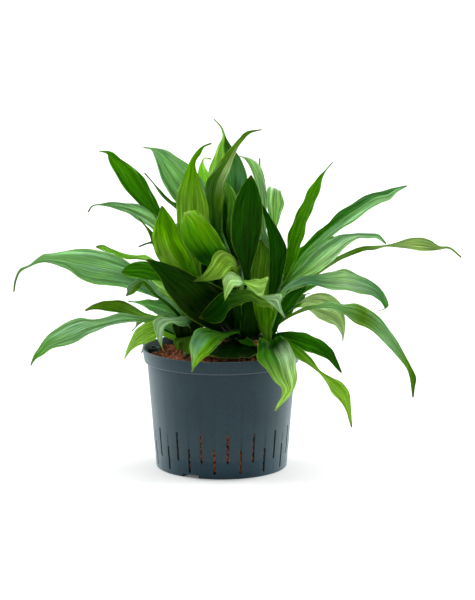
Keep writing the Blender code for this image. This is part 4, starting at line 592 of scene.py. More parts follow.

# The middle stem's leaves that show from the front, with shade and sheen painted into their greens
MIDDLE_LEAVES = [
    # Low shade: a black sheet low over the granules that paints the shade there
    Sheet("middle", 112, "black", [
        (30, 118, 16, 119, 2, 118, -5, 0, 0), (36, 112, 14, 113, -8, 113, -25, 0, 0),
        (34, 107, 12, 108, -14, 108, -45, 0, 0), (24, 104, 8, 105, -8, 105, -57, 0, 0)], (4, 103, -63)),
    # Big dark left
    Sheet("middle", 118, "black black deep", [
        (-10, 130, -4, 148, 6, 165, -14, -3, 4), (-31, 142, -20, 160, -8, 175, -24, -3, 5),
        (-45, 157, -33, 173, -23, 181, -31, -2, 5), (-53, 169, -45, 181, -35, 188, -35, -1, 4),
        (-58, 180, -54, 188, -48, 193, -37, 0, 3), (-65, 190, -62, 194, -58, 196, -38, 0, 2)],
        (-70, 198, -38)),
    # Lobe left
    Sheet("middle", 116, "green", [
        (-7, 142, -3, 150, 2, 157, -8, 0, 2), (-28, 156, -24, 161, -19, 166, -18, 0, 2),
        (-46, 169, -42, 175, -37, 180, -28, 0, 2), (-58, 177, -58, 183, -55, 192, -32, -1, 5),
        (-71, 179, -73, 187, -71, 196, -34, -2, 7), (-83, 181, -84, 187, -82, 196, -36, -2, 7),
        (-91, 183, -92, 187, -89, 192, -37, -1, 3)], (-94, 186, -38)),
    # Back left
    Sheet("middle", 180, "grey", [
        (-31, 240, -19, 249, -9, 256, 40, -2, -2), (-44, 254, -31, 264, -17, 273, 48, -3, -3),
        (-54, 269, -42, 278, -29, 287, 54, -3, -3), (-59, 283, -51, 290, -41, 295, 58, -3, -3),
        (-63, 296, -59, 299, -52, 302, 60, -1, -1), (-66, 302, -65, 303, -64, 304, 60, 0, 0)],
        (-73, 304, 60)),
    # Tallest
    Sheet("middle", 190, "deep deep dark light light light", [
        (-5, 241, 6, 241, 18, 241, 26, 1, -1), (-12, 263, 5, 263, 24, 263, 29, 2, -3),
        (-12, 282, 3, 281, 24, 279, 31, 2, -3), (-7, 295, 3, 294, 18, 294, 32, 2, -3),
        (-3, 306, 2, 305, 10, 305, 33, 1, -2), (1, 314, 3, 314, 5, 313, 34, 0, 0),
        (-1, 323, 0, 323, 1, 323, 34, 0, 0)], (-7, 331, 34),
        right_tone="deep deep moss bluish moss green"),
    # Tall dark
    Sheet("middle", 178, "deep deep moss moss olive olive", [
        (-7, 217, -2, 217, 2, 217, 14, 1, 0), (-12, 237, -5, 237, 1, 237, 14, 2, 0),
        (-15, 257, -6, 256, 2, 257, 14, 2, 0), (-14, 272, -4, 270, 4, 271, 13, 2, 1),
        (-6, 284, 1, 282, 8, 283, 12, 2, 1), (2, 295, 7, 293, 12, 294, 11, 1, 1),
        (9, 304, 13, 304, 16, 304, 10, 1, 1), (16, 312, 18, 311, 21, 311, 9, 0, 0),
        (23, 319, 25, 318, 27, 317, 8, 0, 0)], (38, 321, 8),
        right_tone="deep deep moss olive pale olive moss"),
    # Dark centre
    Sheet("middle", 154, "deep deep dark", [
        (21, 177, 23, 178, 26, 179, -3, 0, 0), (18, 194, 24, 195, 30, 196, -4, -1, -1),
        (10, 212, 24, 214, 35, 211, -6, -2, -2), (9, 234, 25, 234, 39, 236, -7, -3, -3),
        (12, 252, 26, 252, 38, 253, -8, -3, -3), (19, 267, 28, 267, 34, 267, -8, -2, -2)],
        (28, 278, -8)),
    # Bent back pale
    Sheet("middle", 180, "moss grey silver", [
        (38, 206, 41, 206, 45, 207, 24, 0, 0), (35, 228, 38, 228, 42, 229, 28, 1, 1),
        (35, 252, 39, 253, 43, 254, 34, 2, 2), (32, 270, 37, 272, 41, 273, 37, 2, 2),
        (27, 285, 32, 286, 37, 286, 38, 2, 2), (22, 293, 26, 294, 29, 293, 37, 1, 1)], (17, 296, 35),
        under=True),
    # Blunt back right
    Sheet("middle", 185, "light silver", [
        (45, 228, 48, 228, 52, 229, 46, 0, 0), (44, 243, 50, 242, 56, 241, 50, -1, 0),
        (42, 254, 50, 253, 59, 250, 53, -2, -1), (43, 265, 51, 264, 57, 261, 55, -2, -1),
        (44, 267, 51, 265, 56, 262, 60, 0, 0)], (51, 255, 68)),
    # Curl centre
    Sheet("middle", 140, "deep deep moss lime lime moss", [
        (16, 180, 15, 188, 13, 196, -2, 0, 0), (11, 189, 11, 197, 7, 204, -13, 0, 2),
        (9, 188, 4, 200, -2, 207, -17, -1, 3), (8, 187, -1, 194, -7, 203, -20, -1, 3),
        (5, 184, -5, 189, -10, 195, -29, 0, 2), (2, 180, -10, 184, -15, 187, -33, 1, 1),
        (-8, 178, -15, 180, -18, 183, -34, 1, 1)], (-26, 177, -36)),
    # Bud centre
    Sheet("middle", 150, "olive", [
        (9, 175, 12, 176, 15, 176, -2, 0, 0), (10, 190, 14, 190, 17, 189, -8, 0, 1)], (18, 192, -9)),
    # Pale tip centre
    Sheet("middle", 146, "light silver light", [
        (21, 174, 20, 176, 19, 178, -18, 0, 0), (16, 172, 14, 178, 12, 185, -33, -1, 2),
        (12, 172, 9, 178, 6, 186, -38, -2, 3), (9, 168, 6, 174, 1, 179, -43, -1, 3),
        (6, 163, 4, 166, 2, 171, -46, 0, 2)], (3, 159, -48)),
    # Arch to right
    Sheet("middle", 148, "lime light light", [
        (20, 178, 21, 176, 22, 174, -14, 1, -1), (26, 178, 26, 175, 27, 170, -22, 3, -2),
        (33, 180, 33, 173, 32, 165, -29, 5, -3), (38, 179, 37, 172, 35, 163, -33, 6, -4),
        (43, 182, 41, 173, 39, 164, -36, 6, -3)], (43, 176, -37)),
    # Flap right
    Sheet("middle", 144, "light silver", [
        (27, 173, 27, 170, 27, 168, -18, 0, 0), (39, 164, 39, 163, 38, 161, -34, 0, 0),
        (49, 164, 46, 160, 43, 158, -38, 3, -1), (57, 165, 53, 159, 48, 154, -41, 5, -1),
        (56, 156, 55, 153, 53, 149, -43, 2, 0), (58, 148, 57, 147, 56, 146, -44, 0, 0)],
        (60, 142, -45)),
    # Over rim front
    Sheet("middle", 114, "dark bright green bright yellow lime", [
        (17, 127, 16, 129, 15, 131, -8, 0, 0), (6, 124, 3, 127, 0, 128, -26, 0, 0),
        (-3, 116, -9, 123, -14, 132, -42, -2, 2), (-11, 107, -17, 115, -25, 130, -57, -2, 3),
        (-17, 103, -23, 107, -30, 117, -70, -1, 2), (-23, 97, -26, 100, -29, 105, -78, 0, 0),
        (-26, 93, -27, 93, -28, 93, -81, 0, 0)], (-28, 90, -82),
        right_tone="dark dark dark green bluish light"),
    # Thin back left
    Leaf("middle", 170, 15, "dark", drawn([
        (-10, 214, 38), (-35, 241, 52), (-55, 257, 59), (-64, 269, 62), (-72, 278, 62)]),
        (0.7, -0.25, 0.7)),
    # Spike behind
    Leaf("middle", 184, 16, "bluish", drawn([
        (31, 225, 44), (35, 255, 50), (36, 278, 52), (36, 292, 52)]), (0, -1, 0)),
    # Thin arch behind
    Leaf("middle", 186, 19, "light", drawn([
        (-8, 230, 40), (-14, 255, 46), (-16, 272, 48), (-18, 285, 48), (-16, 292, 48), (-9, 291, 48)]),
        (0, -1, 0.2), peak=0.6),
    # Bright between
    Leaf("middle", 186, 13, "deep deep dark bright bright", drawn([
        (11, 222, 10), (12, 240, 10), (10, 256, 10), (5, 271, 10)]), (0, 1, 0.1),
        drip=1.0),
    # Inner dark centre
    Leaf("middle", 116, 30, "deep", drawn([
        (9, 138, 10), (3, 158, 5), (0, 178, 5), (-3, 199, 7)]), (0.2, 1, 0.1), drip=1.0),
    # Inner low centre
    Leaf("middle", 111, 28, "deep", drawn([
        (7, 125, 20), (-2, 134, 18), (-11, 139, 17), (-20, 142, 16)]), (0, -0.8, 0.7), drip=1.0,
        neck=0.6),
    # Inner dark right
    Leaf("middle", 110, 26, "deep", drawn([
        (27, 124, 8), (30, 140, 7), (31, 165, 9), (31, 190, 10)]), (0, 1, 0.1), drip=1.0,
        neck=0.68),
    # Low front
    Leaf("middle", 112, 13, "green", drawn([
        (20, 119, -10), (28, 114, -24), (34, 112, -30)]), (0, -0.4, 1), drip=1.0),
]

# The right stem's leaves that show from the front, with shade and sheen painted into their greens
RIGHT_LEAVES = [
    # Upper right
    Sheet("right", 165, "bright green bluish", [
        (64, 194, 67, 190, 70, 186, 12, 2, -2), (74, 207, 77, 204, 80, 201, 18, 2, -2),
        (85, 220, 89, 216, 93, 211, 22, 3, -3), (98, 231, 103, 228, 108, 224, 25, 4, -4),
        (110, 243, 116, 238, 121, 232, 27, 4, -4), (127, 254, 132, 249, 137, 244, 28, 4, -4),
        (140, 261, 145, 257, 149, 252, 28, 4, -4), (154, 264, 157, 260, 159, 255, 28, 3, -3),
        (161, 266, 163, 264, 164, 261, 28, 1, -1)], (174, 268, 28), right_tone="yellow grey grey"),
    # Arched right
    Sheet("right", 158, "bright grey bluish", [
        (66, 182, 69, 180, 72, 177, 3, 1, -1), (76, 194, 81, 189, 86, 183, 1, 2, -3),
        (89, 208, 94, 200, 98, 191, 0, 3, -4), (103, 218, 107, 211, 110, 202, -2, 3, -4),
        (114, 222, 117, 218, 119, 212, -3, 3, -3), (125, 223, 127, 221, 129, 218, -4, 2, -2),
        (138, 223, 138, 221, 138, 218, -4, 1, -1), (148, 222, 147, 220, 146, 218, -4, 0, 0)],
        (155, 213, -4), right_tone="light silver grey"),
    # Far right
    Sheet("right", 150, "silver pale olive pale olive", [
        (87, 187, 89, 185, 91, 183, 33, 0, 0), (104, 198, 107, 197, 110, 196, 37, 0, 0),
        (118, 205, 119, 203, 121, 201, 39, 0, 0), (131, 210, 133, 208, 135, 206, 40, 1, -1),
        (142, 211, 143, 209, 144, 207, 41, 1, -1), (155, 212, 155, 211, 155, 210, 42, 0, 0),
        (167, 215, 167, 212, 167, 209, 43, 1, -1), (176, 218, 177, 213, 177, 208, 44, 2, -2),
        (188, 219, 188, 213, 188, 206, 44, 2, -2), (197, 216, 198, 211, 199, 206, 44, 2, -2),
        (205, 211, 205, 209, 205, 207, 44, 0, 0), (215, 210, 215, 209, 214, 208, 44, 0, 0)],
        (226, 200, 44)),
    # Hooked right
    Sheet("right", 148, "light grey bluish silver bluish bright", [
        (59, 171, 60, 169, 61, 167, -8, 1, -1), (69, 179, 72, 175, 74, 172, -10, 2, -2),
        (80, 183, 82, 179, 84, 174, -12, 3, -3), (93, 184, 93, 178, 93, 172, -14, 4, -4),
        (105, 187, 106, 178, 106, 169, -16, 5, -5), (117, 189, 119, 178, 121, 168, -17, 5, -6),
        (129, 184, 131, 175, 133, 165, -18, 5, -5), (140, 178, 142, 171, 143, 163, -18, 4, -4),
        (150, 171, 150, 165, 149, 159, -18, 2, -2), (156, 161, 154, 158, 152, 155, -19, 0, 0),
        (158, 153, 156, 152, 154, 151, -20, 0, 0)], (149, 149, -22)),
    # Pale low right
    Sheet("right", 138, "light pale pale pale", [
        (65, 152, 65, 150, 66, 149, 14, 0, 0), (74, 158, 75, 155, 76, 152, 20, 1, -1),
        (84, 164, 84, 156, 84, 148, 24, 3, -3), (93, 166, 94, 154, 93, 141, 27, 4, -4),
        (104, 164, 103, 151, 101, 137, 29, 3, -4), (113, 155, 111, 145, 107, 135, 30, 2, -3),
        (117, 142, 115, 136, 112, 129, 30, 1, -1), (117, 130, 116, 127, 114, 124, 30, 0, 0)],
        (115, 119, 30), under=True),
    # Long right
    Sheet("right", 130, "moss olive grey olive grey olive moss", [
        (59, 142, 60, 141, 61, 140, -2, 0, 0), (80, 153, 80, 151, 81, 149, 0, 0, 0),
        (93, 155, 94, 153, 94, 151, 0, 0, 0), (103, 158, 104, 154, 105, 150, 0, 1, -1),
        (115, 155, 115, 151, 115, 146, 0, 2, -2), (128, 156, 128, 147, 127, 137, 0, 4, -4),
        (140, 150, 140, 141, 138, 132, 0, 3, -3), (152, 140, 150, 133, 148, 125, 0, 3, -3),
        (162, 127, 160, 121, 158, 114, 0, 2, -2), (171, 112, 170, 108, 168, 103, 0, 1, -1),
        (179, 97, 178, 95, 176, 92, 0, 0, 0), (185, 84, 182, 83, 179, 82, 0, 0, 0),
        (184, 76, 182, 75, 180, 75, 0, 0, 0)], (182, 65, 0)),
    # Dark low right
    Sheet("right", 116, "dark green dark", [
        (54, 128, 55, 125, 56, 123, -8, 1, -1), (67, 129, 66, 124, 65, 118, -12, 3, -3),
        (78, 128, 77, 121, 75, 112, -15, 4, -4), (90, 123, 89, 116, 86, 108, -17, 4, -4),
        (100, 117, 98, 111, 95, 105, -18, 3, -3), (106, 110, 105, 105, 103, 100, -19, 2, -2),
        (110, 101, 109, 98, 107, 95, -19, 0, 0)], (114, 89, -19)),
    # Lime twisted
    Sheet("right", 114, "green bright lime lime", [
        (59, 123, 57, 120, 55, 118, -32, 0, 0), (70, 116, 69, 113, 67, 109, -48, 1, -1),
        (80, 109, 77, 106, 73, 102, -55, 2, -2), (87, 101, 85, 99, 83, 96, -58, 1, -1),
        (94, 91, 93, 90, 93, 88, -60, 0, 0), (104, 85, 102, 82, 100, 79, -62, 0, 0),
        (114, 80, 110, 75, 105, 69, -63, 1, -1), (121, 71, 117, 67, 112, 62, -64, 1, -1),
        (123, 58, 120, 55, 118, 53, -64, 0, 0), (124, 45, 123, 44, 121, 43, -64, 0, 0)],
        (124, 36, -64)),
    # Over rim right
    Sheet("right", 113, "green green deep silver light lime", [
        (52, 123, 45, 119, 38, 122, -20, 0, 0), (58, 124, 47, 115, 35, 121, -42, -2, -2),
        (66, 114, 51, 107, 34, 111, -64, 0, 0), (70, 104, 55, 100, 34, 102, -78, 1, 1),
        (71, 94, 58, 90, 42, 93, -86, 2, 2), (72, 84, 61, 81, 50, 81, -89, 3, 2),
        (70, 75, 64, 73, 57, 74, -90, 2, 1), (64, 65, 60, 66, 57, 66, -90, 1, 0),
        (56, 57, 55, 58, 53, 59, -89, 0, 0)], (51, 52, -88),
        right_tone="green bright deep green light light"),
    # Arch to left
    Sheet("right", 134, "lime olive moss deep black", [
        (48, 153, 45, 156, 43, 159, -12, -1, 1), (40, 152, 37, 158, 34, 163, -18, -2, 2),
        (29, 158, 26, 163, 24, 169, -23, -2, 2), (18, 155, 16, 162, 16, 169, -28, -2, 3),
        (8, 150, 5, 159, 3, 168, -33, -2, 3), (1, 139, -3, 150, -8, 159, -38, -2, 3),
        (-7, 137, -11, 144, -15, 151, -42, -1, 3)], (-21, 142, -43)),
    # Olive upright
    Sheet("right", 116, "lime bright olive moss", [
        (40, 120, 43, 119, 47, 120, -12, 2, 2), (35, 134, 41, 132, 49, 133, -13, 3, 4),
        (31, 150, 40, 148, 52, 150, -10, 3, 4), (28, 169, 36, 168, 47, 170, -3, 3, 3),
        (28, 186, 36, 187, 49, 188, 4, 2, 2), (31, 201, 38, 203, 48, 202, 5, 1, 1)], (37, 217, 5)),
    # Dark right
    Sheet("right", 150, "deep dark", [
        (44, 159, 47, 161, 51, 163, -6, 0, 0), (45, 176, 51, 176, 56, 175, -6, -1, -1),
        (45, 192, 52, 192, 60, 192, -5, -2, -2), (45, 209, 53, 208, 62, 207, -4, -2, -2),
        (43, 225, 49, 225, 55, 224, -2, -1, -1), (40, 239, 43, 239, 46, 239, 0, 0, 0)], (37, 252, 2)),
    # Short dark right
    Sheet("right", 112, "dark", [
        (46, 125, 48, 125, 51, 126, -8, 0, 0), (52, 144, 55, 142, 58, 142, -13, 1, 1),
        (56, 157, 63, 155, 70, 155, -15, 2, 2), (63, 166, 69, 164, 75, 163, -16, 2, 2)],
        (80, 172, -16)),
    # Upright right
    Leaf("right", 160, 19, "bright", drawn([
        (63, 188, 12), (69, 212, 14), (78, 240, 14), (89, 265, 14), (96, 278, 14), (105, 289, 14)]),
        (-0.8, -0.8, 0.2)),
]

# Leaves on the side away from the front: stem, height on it, direction from +X towards +Y,
# length, the angle that the leaf rises at and how far it bends down along its length
BACK_LEAVES = [
    ("left", 120, 118, 120, 15, 70),
    ("left", 128, 142, 80, 24, 66),
    ("left", 136, 105, 140, 30, 60),
    ("left", 144, 128, 125, 38, 55),
    ("left", 152, 98, 150, 48, 50),
    ("left", 160, 120, 130, 55, 45),
    ("middle", 114, 88, 140, 14, 75),
    ("middle", 120, 69, 125, 20, 70),
    ("middle", 128, 112, 145, 24, 68),
    ("middle", 138, 75, 150, 32, 62),
    ("middle", 148, 128, 130, 38, 58),
    ("middle", 160, 96, 150, 46, 52),
    ("middle", 170, 72, 115, 52, 50),
    ("middle", 182, 110, 120, 62, 45),
    ("right", 126, 48, 70, 45, 40),
    ("right", 134, 74, 120, 32, 58),
    ("right", 142, 40, 110, 36, 55),
    ("right", 150, 84, 130, 34, 52),
    ("right", 158, 48, 120, 46, 48),
]
BACK_TONES = ("dark", "green", "bluish", "green", "bright")


def arched_line(stem, height, direction, length, lift, droop):
    """Points of a leaf that leaves its stem at lift degrees and bends down by droop degrees."""
    turn = math.radians(direction)
    point = stem_point(stem, height)
    points = []
    for step in range(BACK_POINTS):
        angle = math.radians(lift - droop * (step / (BACK_POINTS - 1)) ** BEND_POWER)
        run = length / BACK_POINTS
        point = point + run * np.array((math.cos(turn) * math.cos(angle),
                                        math.sin(turn) * math.cos(angle), math.sin(angle)))
        points.append(point)
    return points


def back_leaves():
    """The leaves on the side away from the front, with their widths and waves drawn at random."""
    draw = random.Random(BACK_SEED)
    leaves = []
    for k, (stem, height, direction, length, lift, droop) in enumerate(BACK_LEAVES):
        turn = math.radians(direction)
        out = np.array((math.cos(turn), math.sin(turn), 0.0))
        up = np.array((0.0, 0.0, 1.0))
        line = arched_line(stem, height, direction, length, lift, droop)
        leaves.append(Leaf(
            stem, height, draw.uniform(*BACK_WIDTHS), BACK_TONES[k % len(BACK_TONES)], line,
            up - BACK_LEAN * out, tip=BACK_TIP_LIFT * up + out,
            wave=(BACK_WAVE, draw.uniform(*BACK_WAVES), draw.random())))
    return leaves


def all_leaves():
    return LEFT_LEAVES + MIDDLE_LEAVES + RIGHT_LEAVES + back_leaves()


class Finish:
    """A material or a world whose nodes are added one at a time."""

    def __init__(self, owner, output="OutputMaterial"):
        owner.use_nodes = True
        self.owner = owner
        self.output = output
        self.tree = owner.node_tree
        self.tree.nodes.clear()

    def node(self, kind, inputs, **settings):
        made = self.tree.nodes.new("ShaderNode" + kind)
        for key, value in settings.items():
            setattr(made, key, value)
        for key, value in inputs.items():
            if isinstance(value, bpy.types.NodeSocket):
                self.tree.links.new(value, made.inputs[key])
            else:
                made.inputs[key].default_value = value
        return made

    def math(self, operation, a, b=0.0):
        return self.node("Math", {0: a, 1: b}, operation=operation).outputs[0]

    def ramp(self, value, low, high, least=0.0, most=1.0):
        """A value spread smoothly from least to most as it goes from low to high."""
        made = self.node("MapRange", {"Value": value, "From Min": low, "From Max": high,
                                      "To Min": least, "To Max": most},
                         interpolation_type="SMOOTHSTEP")
        return made.outputs[0]

    def mix(self, share, a, b, blend="MIX"):
        made = self.node("Mix", {0: share, 6: a, 7: b}, data_type="RGBA", blend_type=blend)
        return made.outputs[2]

    def tint(self, colour, red, green, blue):
        """A colour with each of its parts multiplied by a factor."""
        return self.mix(1.0, colour, (red, green, blue, 1.0), "MULTIPLY")

    def scaled(self, parts, factors):
        """A place made of three values, each multiplied by its factor."""
        products = [self.math("MULTIPLY", part, factor) for part, factor in zip(parts, factors)]
        return self.node("CombineXYZ", dict(enumerate(products))).outputs[0]

    def noise(self, place, scale, detail=2.0, roughness=0.5):
        made = self.node("TexNoise", {"Vector": place, "Scale": scale, "Detail": detail,
                                      "Roughness": roughness})
        return made.outputs[0]

    def attribute(self, name, output):
        return self.node("Attribute", {}, attribute_name=name).outputs[output]

    def place(self):
        return self.node("TexCoord", {}).outputs["Object"]

    def bump(self, height, strength, distance):
        return self.node("Bump", {"Height": height, "Strength": strength,
                                  "Distance": distance}).outputs[0]

    def end(self, shader):
        self.node(self.output, {"Surface": shader})
        return self.owner


def new_finish(name):
    return Finish(bpy.data.materials.new(name))


def grey(value):
    return (value, value, value, 1.0)


def leaf_finish():
    """Waxy leaf: fine veins along it, a painted pale sheen and painted shade in streaks, a pale rib and
    margin, and light let through.
    """
    f = new_finish("dracaena leaf")
    blade = f.node("SeparateXYZ", {0: f.attribute("blade", "Vector")})
    across, along, seed = blade.outputs
    side = f.math("ABSOLUTE", across)
    # tone carries the leaf's greens, into which shade and sheen are painted
    tone = f.attribute("tone", "Color")
    stretched = f.scaled((across, along, seed), (13.0, 1.6, 37.0))
    veins = f.noise(stretched, 1.0, 4.0, 0.62)
    lines = f.noise(stretched, 3.2, 1.0, 0.5)
    blotches = f.noise(f.place(), 55.0, 3.0, 0.55)
    streaked = f.mix(f.ramp(veins, 0.3, 0.7), f.tint(tone, 0.72, 0.72, 0.72),
                     f.tint(tone, 1.28, 1.28, 1.28))
    lined = f.mix(f.ramp(lines, 0.42, 0.6, 0.0, 0.3), streaked, grey(0.0))
    mottled = f.mix(f.ramp(blotches, 0.3, 0.75, 0.0, 0.35), lined, f.tint(lined, 1.5, 1.35, 1.0))
    # Painted sheen: whitish streaks that stand for light caught on the leaf
    sheen = f.noise(f.scaled((across, along, seed), (4.5, 2.4, 19.0)), 1.0, 3.0, 0.6)
    painted_sheen = f.mix(f.ramp(sheen, 0.5, 0.68, 0.0, 0.75), mottled, f.tint(mottled, 1.9, 1.5, 3.0))
    # Painted shade: darker streaks where the sheen noise is low
    shaded = f.mix(f.ramp(sheen, 0.5, 0.32, 0.0, 0.6), painted_sheen, f.tint(painted_sheen, 0.5, 0.6, 0.4))
    rib = f.mix(f.ramp(side, 0.05, 0.015, 0.0, 0.4), shaded, f.tint(shaded, 1.6, 1.5, 1.2))
    margin = f.mix(f.ramp(side, 0.92, 0.985, 0.0, 0.5), rib, (0.26, 0.50, 0.03, 1.0))
    tipped = f.mix(f.ramp(along, 0.95, 1.0, 0.0, 0.5), margin, (0.12, 0.11, 0.02, 1.0))
    height = f.math("ADD", f.math("MULTIPLY", veins, 0.7), f.math("MULTIPLY", lines, 0.3))
    skin = f.node("BsdfPrincipled", {
        "Base Color": tipped,
        "Roughness": f.ramp(veins, 0.2, 0.8, 0.32, 0.46),
        "Specular IOR Level": LEAF_GLOSS,
        "Specular Tint": (0.75, 1.0, 0.2, 1.0),
        "Normal": f.bump(height, 0.5, 0.0006)})
    through = f.node("BsdfTranslucent", {"Color": f.tint(tipped, 1.6, 1.8, 0.3)})
    blend = f.node("MixShader", {0: 0.3, 1: skin.outputs[0], 2: through.outputs[0]})
    return f.end(blend.outputs[0])


def stem_finish():
    """Green cane with pale rings where leaves stood."""
    f = new_finish("dracaena cane")
    along = f.node("SeparateXYZ", {0: f.place()}).outputs[2]
    ring = f.math("SINE", f.math("MULTIPLY", along, 2 * math.pi / (SCAR_SPACING * MM)))
    grain = f.noise(f.place(), 350.0, 3.0)
    colour = f.mix(f.ramp(ring, 0.2, 1.0, 0.0, 0.6), (0.03, 0.10, 0.01, 1.0),
                   (0.09, 0.17, 0.03, 1.0))
    colour = f.mix(f.ramp(grain, 0.35, 0.7, 0.0, 0.5), colour, (0.02, 0.05, 0.01, 1.0))
    skin = f.node("BsdfPrincipled", {"Base Color": colour, "Roughness": 0.6,
                                     "Normal": f.bump(grain, 0.5, 0.0004)})
    return f.end(skin.outputs[0])


def plastic_finish():
    """Slate culture-pot plastic: satin, with a fine speckle and paler towards its foot, then a
    darker and smoother band, and a painted shadow line just under the collar's lower edge and a
    painted highlight line along that edge."""
    f = new_finish("slate plastic")
    place = f.place()
    height = f.node("SeparateXYZ", {0: place}).outputs[2]
    grain = f.noise(place, 1400.0, 2.0, 0.6)
    cloud = f.noise(place, 28.0, 4.0, 0.6)
    specks = f.noise(place, 520.0, 0.0)
    body = f.mix(f.ramp(cloud, 0.3, 0.7), (0.006, 0.026, 0.038, 1.0), (0.010, 0.033, 0.046, 1.0))
    body = f.mix(f.ramp(grain, 0.35, 0.7, 0.0, 0.3), body, (0.045, 0.075, 0.088, 1.0))
    body = f.mix(f.ramp(specks, 0.70, 0.76, 0.0, 0.35), body, (0.006, 0.014, 0.018, 1.0))
    low = f.ramp(height, 0.6 * POT_HEIGHT * MM, BAND_HEIGHT * MM)
    body = f.mix(low, body, f.tint(body, 1.9, 1.5, 1.4))
    band = f.ramp(height, (BAND_HEIGHT + BAND_STEP) * MM, BAND_HEIGHT * MM)
    body = f.mix(band, body, f.tint(body, 0.50, 0.78, 0.92))
    above = f.math("SUBTRACT", height, UNDER_COLLAR * MM)
    # Painted shadow: a dark line just under the collar's lower edge
    under = f.math("MULTIPLY", f.ramp(above, -LIP_SHADOW_AND_HIGHLIGHT * MM, -0.5 * LIP_SHADOW_AND_HIGHLIGHT * MM),
                   f.ramp(above, 0.0, -0.3 * LIP_SHADOW_AND_HIGHLIGHT * MM))
    body = f.mix(f.math("MULTIPLY", under, 0.8), body, (0.004, 0.008, 0.010, 1.0))
    # Painted highlight: a pale line along the collar's lower edge
    edge = f.math("MULTIPLY", f.ramp(above, -0.1 * LIP_SHADOW_AND_HIGHLIGHT * MM, 0.1 * LIP_SHADOW_AND_HIGHLIGHT * MM),
                  f.ramp(above, LIP_SHADOW_AND_HIGHLIGHT * MM, 0.4 * LIP_SHADOW_AND_HIGHLIGHT * MM))
    body = f.mix(f.math("MULTIPLY", edge, 0.5), body, (0.09, 0.12, 0.14, 1.0))
    rough = f.math("SUBTRACT", f.ramp(cloud, 0.2, 0.8, 0.40, 0.52), f.math("MULTIPLY", band, 0.08))
    skin = f.node("BsdfPrincipled", {"Base Color": body, "Roughness": rough,
                                     "Specular IOR Level": PLASTIC_GLOSS,
                                     "Sheen Weight": PLASTIC_SHEEN,
                                     "Sheen Roughness": 0.45,
                                     "Sheen Tint": (0.78, 0.95, 1.0, 1.0),
                                     "Normal": f.bump(grain, 0.25, 0.00015)})
    return f.end(skin.outputs[0])


def clay_finish():
    """Fired clay granules: red brown, each a little different, rough and pitted."""
    f = new_finish("clay granules")
    # shade is a random paleness, raised on the stones behind the slots as painted light
    shade = f.attribute("shade", "Fac")
    grain = f.noise(f.place(), 900.0, 4.0, 0.65)
    colour = f.mix(shade, (0.13, 0.036, 0.014, 1.0), (0.42, 0.135, 0.058, 1.0))
    colour = f.mix(f.ramp(grain, 0.3, 0.75, 0.0, 0.6), colour, f.tint(colour, 1.7, 1.6, 1.5))
    skin = f.node("BsdfPrincipled", {"Base Color": colour, "Roughness": 0.92,
                                     "Normal": f.bump(grain, 0.9, 0.0008)})
    return f.end(skin.outputs[0])


def add_object(name, data):
    made = bpy.data.objects.new(name, data)
    bpy.context.scene.collection.objects.link(made)
    return made


def add_aimed(name, data, way):
    """A light or a camera that looks along a direction."""
    made = add_object(name, data)
    made.rotation_euler = way.to_track_quat("-Z", "Y").to_euler()
    return made


def add_mesh(name, points, faces, finishes):
    """An object from points in millimetres."""
    data = bpy.data.meshes.new(name)
    data.from_pydata((np.asarray(points) * MM).tolist(), [], faces)
    for finish in finishes:
        data.materials.append(finish)
    data.update()
    return add_object(name, data)


def add_attribute(target, name, kind, values):
    key = {"FLOAT": "value", "FLOAT_VECTOR": "vector", "FLOAT_COLOR": "color"}[kind]
    made = target.data.attributes.new(name, kind, "POINT")
    made.data.foreach_set(key, np.asarray(values, np.float32).ravel())


def soften(target, degrees):
    target.data.shade_smooth()
    target.data.set_sharp_from_angle(angle=math.radians(degrees))


def blade_faces(rows, columns, first):
    """Faces of a closed blade whose upper grid of points starts at first, its lower one next."""
    over = np.arange(rows * columns).reshape(rows, columns) + first
    under = over + rows * columns

    def quads(a, b, c, d):
        return np.stack([a, b, c, d], axis=-1).reshape(-1, 4).tolist()

    faces = quads(over[:-1, :-1], over[1:, :-1], over[1:, 1:], over[:-1, 1:])
    faces += quads(under[:-1, :-1], under[:-1, 1:], under[1:, 1:], under[1:, :-1])
    faces += quads(over[:-1, 0], under[:-1, 0], under[1:, 0], over[1:, 0])
    faces += quads(over[:-1, -1], over[1:, -1], under[1:, -1], under[:-1, -1])
    faces += quads(over[0, :-1], over[0, 1:], under[0, 1:], under[0, :-1])
    faces += quads(over[-1, :-1], under[-1, :-1], under[-1, 1:], over[-1, 1:])
    return faces


def stem_bar(stem):
    """Points and faces of a cane with rings where leaves stood."""
    top = STEMS[stem][4]
    turns = np.linspace(0.0, 2 * np.pi, STEM_SIDES, endpoint=False)
    points = []
    for part in range(STEM_PARTS + 1):
        share = part / STEM_PARTS
        centre = stem_point(stem, STEM_FOOT + (top - STEM_FOOT) * share)
        radius = STEM_RADIUS + (STEM_TOP_RADIUS - STEM_RADIUS) * share
        ring = math.sin(2 * math.pi * centre[2] / SCAR_SPACING)
        radius += SCAR_DEPTH * (max(ring, 0.0) ** SCAR_POWER - 0.5)
        around = np.stack([np.cos(turns), np.sin(turns), 0 * turns], axis=1)
        points.append(centre + radius * around)
    faces = []
    for part in range(STEM_PARTS):
        for k in range(STEM_SIDES):
            n = (k + 1) % STEM_SIDES
            low, high = part * STEM_SIDES, (part + 1) * STEM_SIDES
            faces.append([low + k, low + n, high + n, high + k])
    faces.append(list(range(STEM_SIDES))[::-1])
    faces.append([STEM_PARTS * STEM_SIDES + k for k in range(STEM_SIDES)])
    return np.concatenate(points), faces


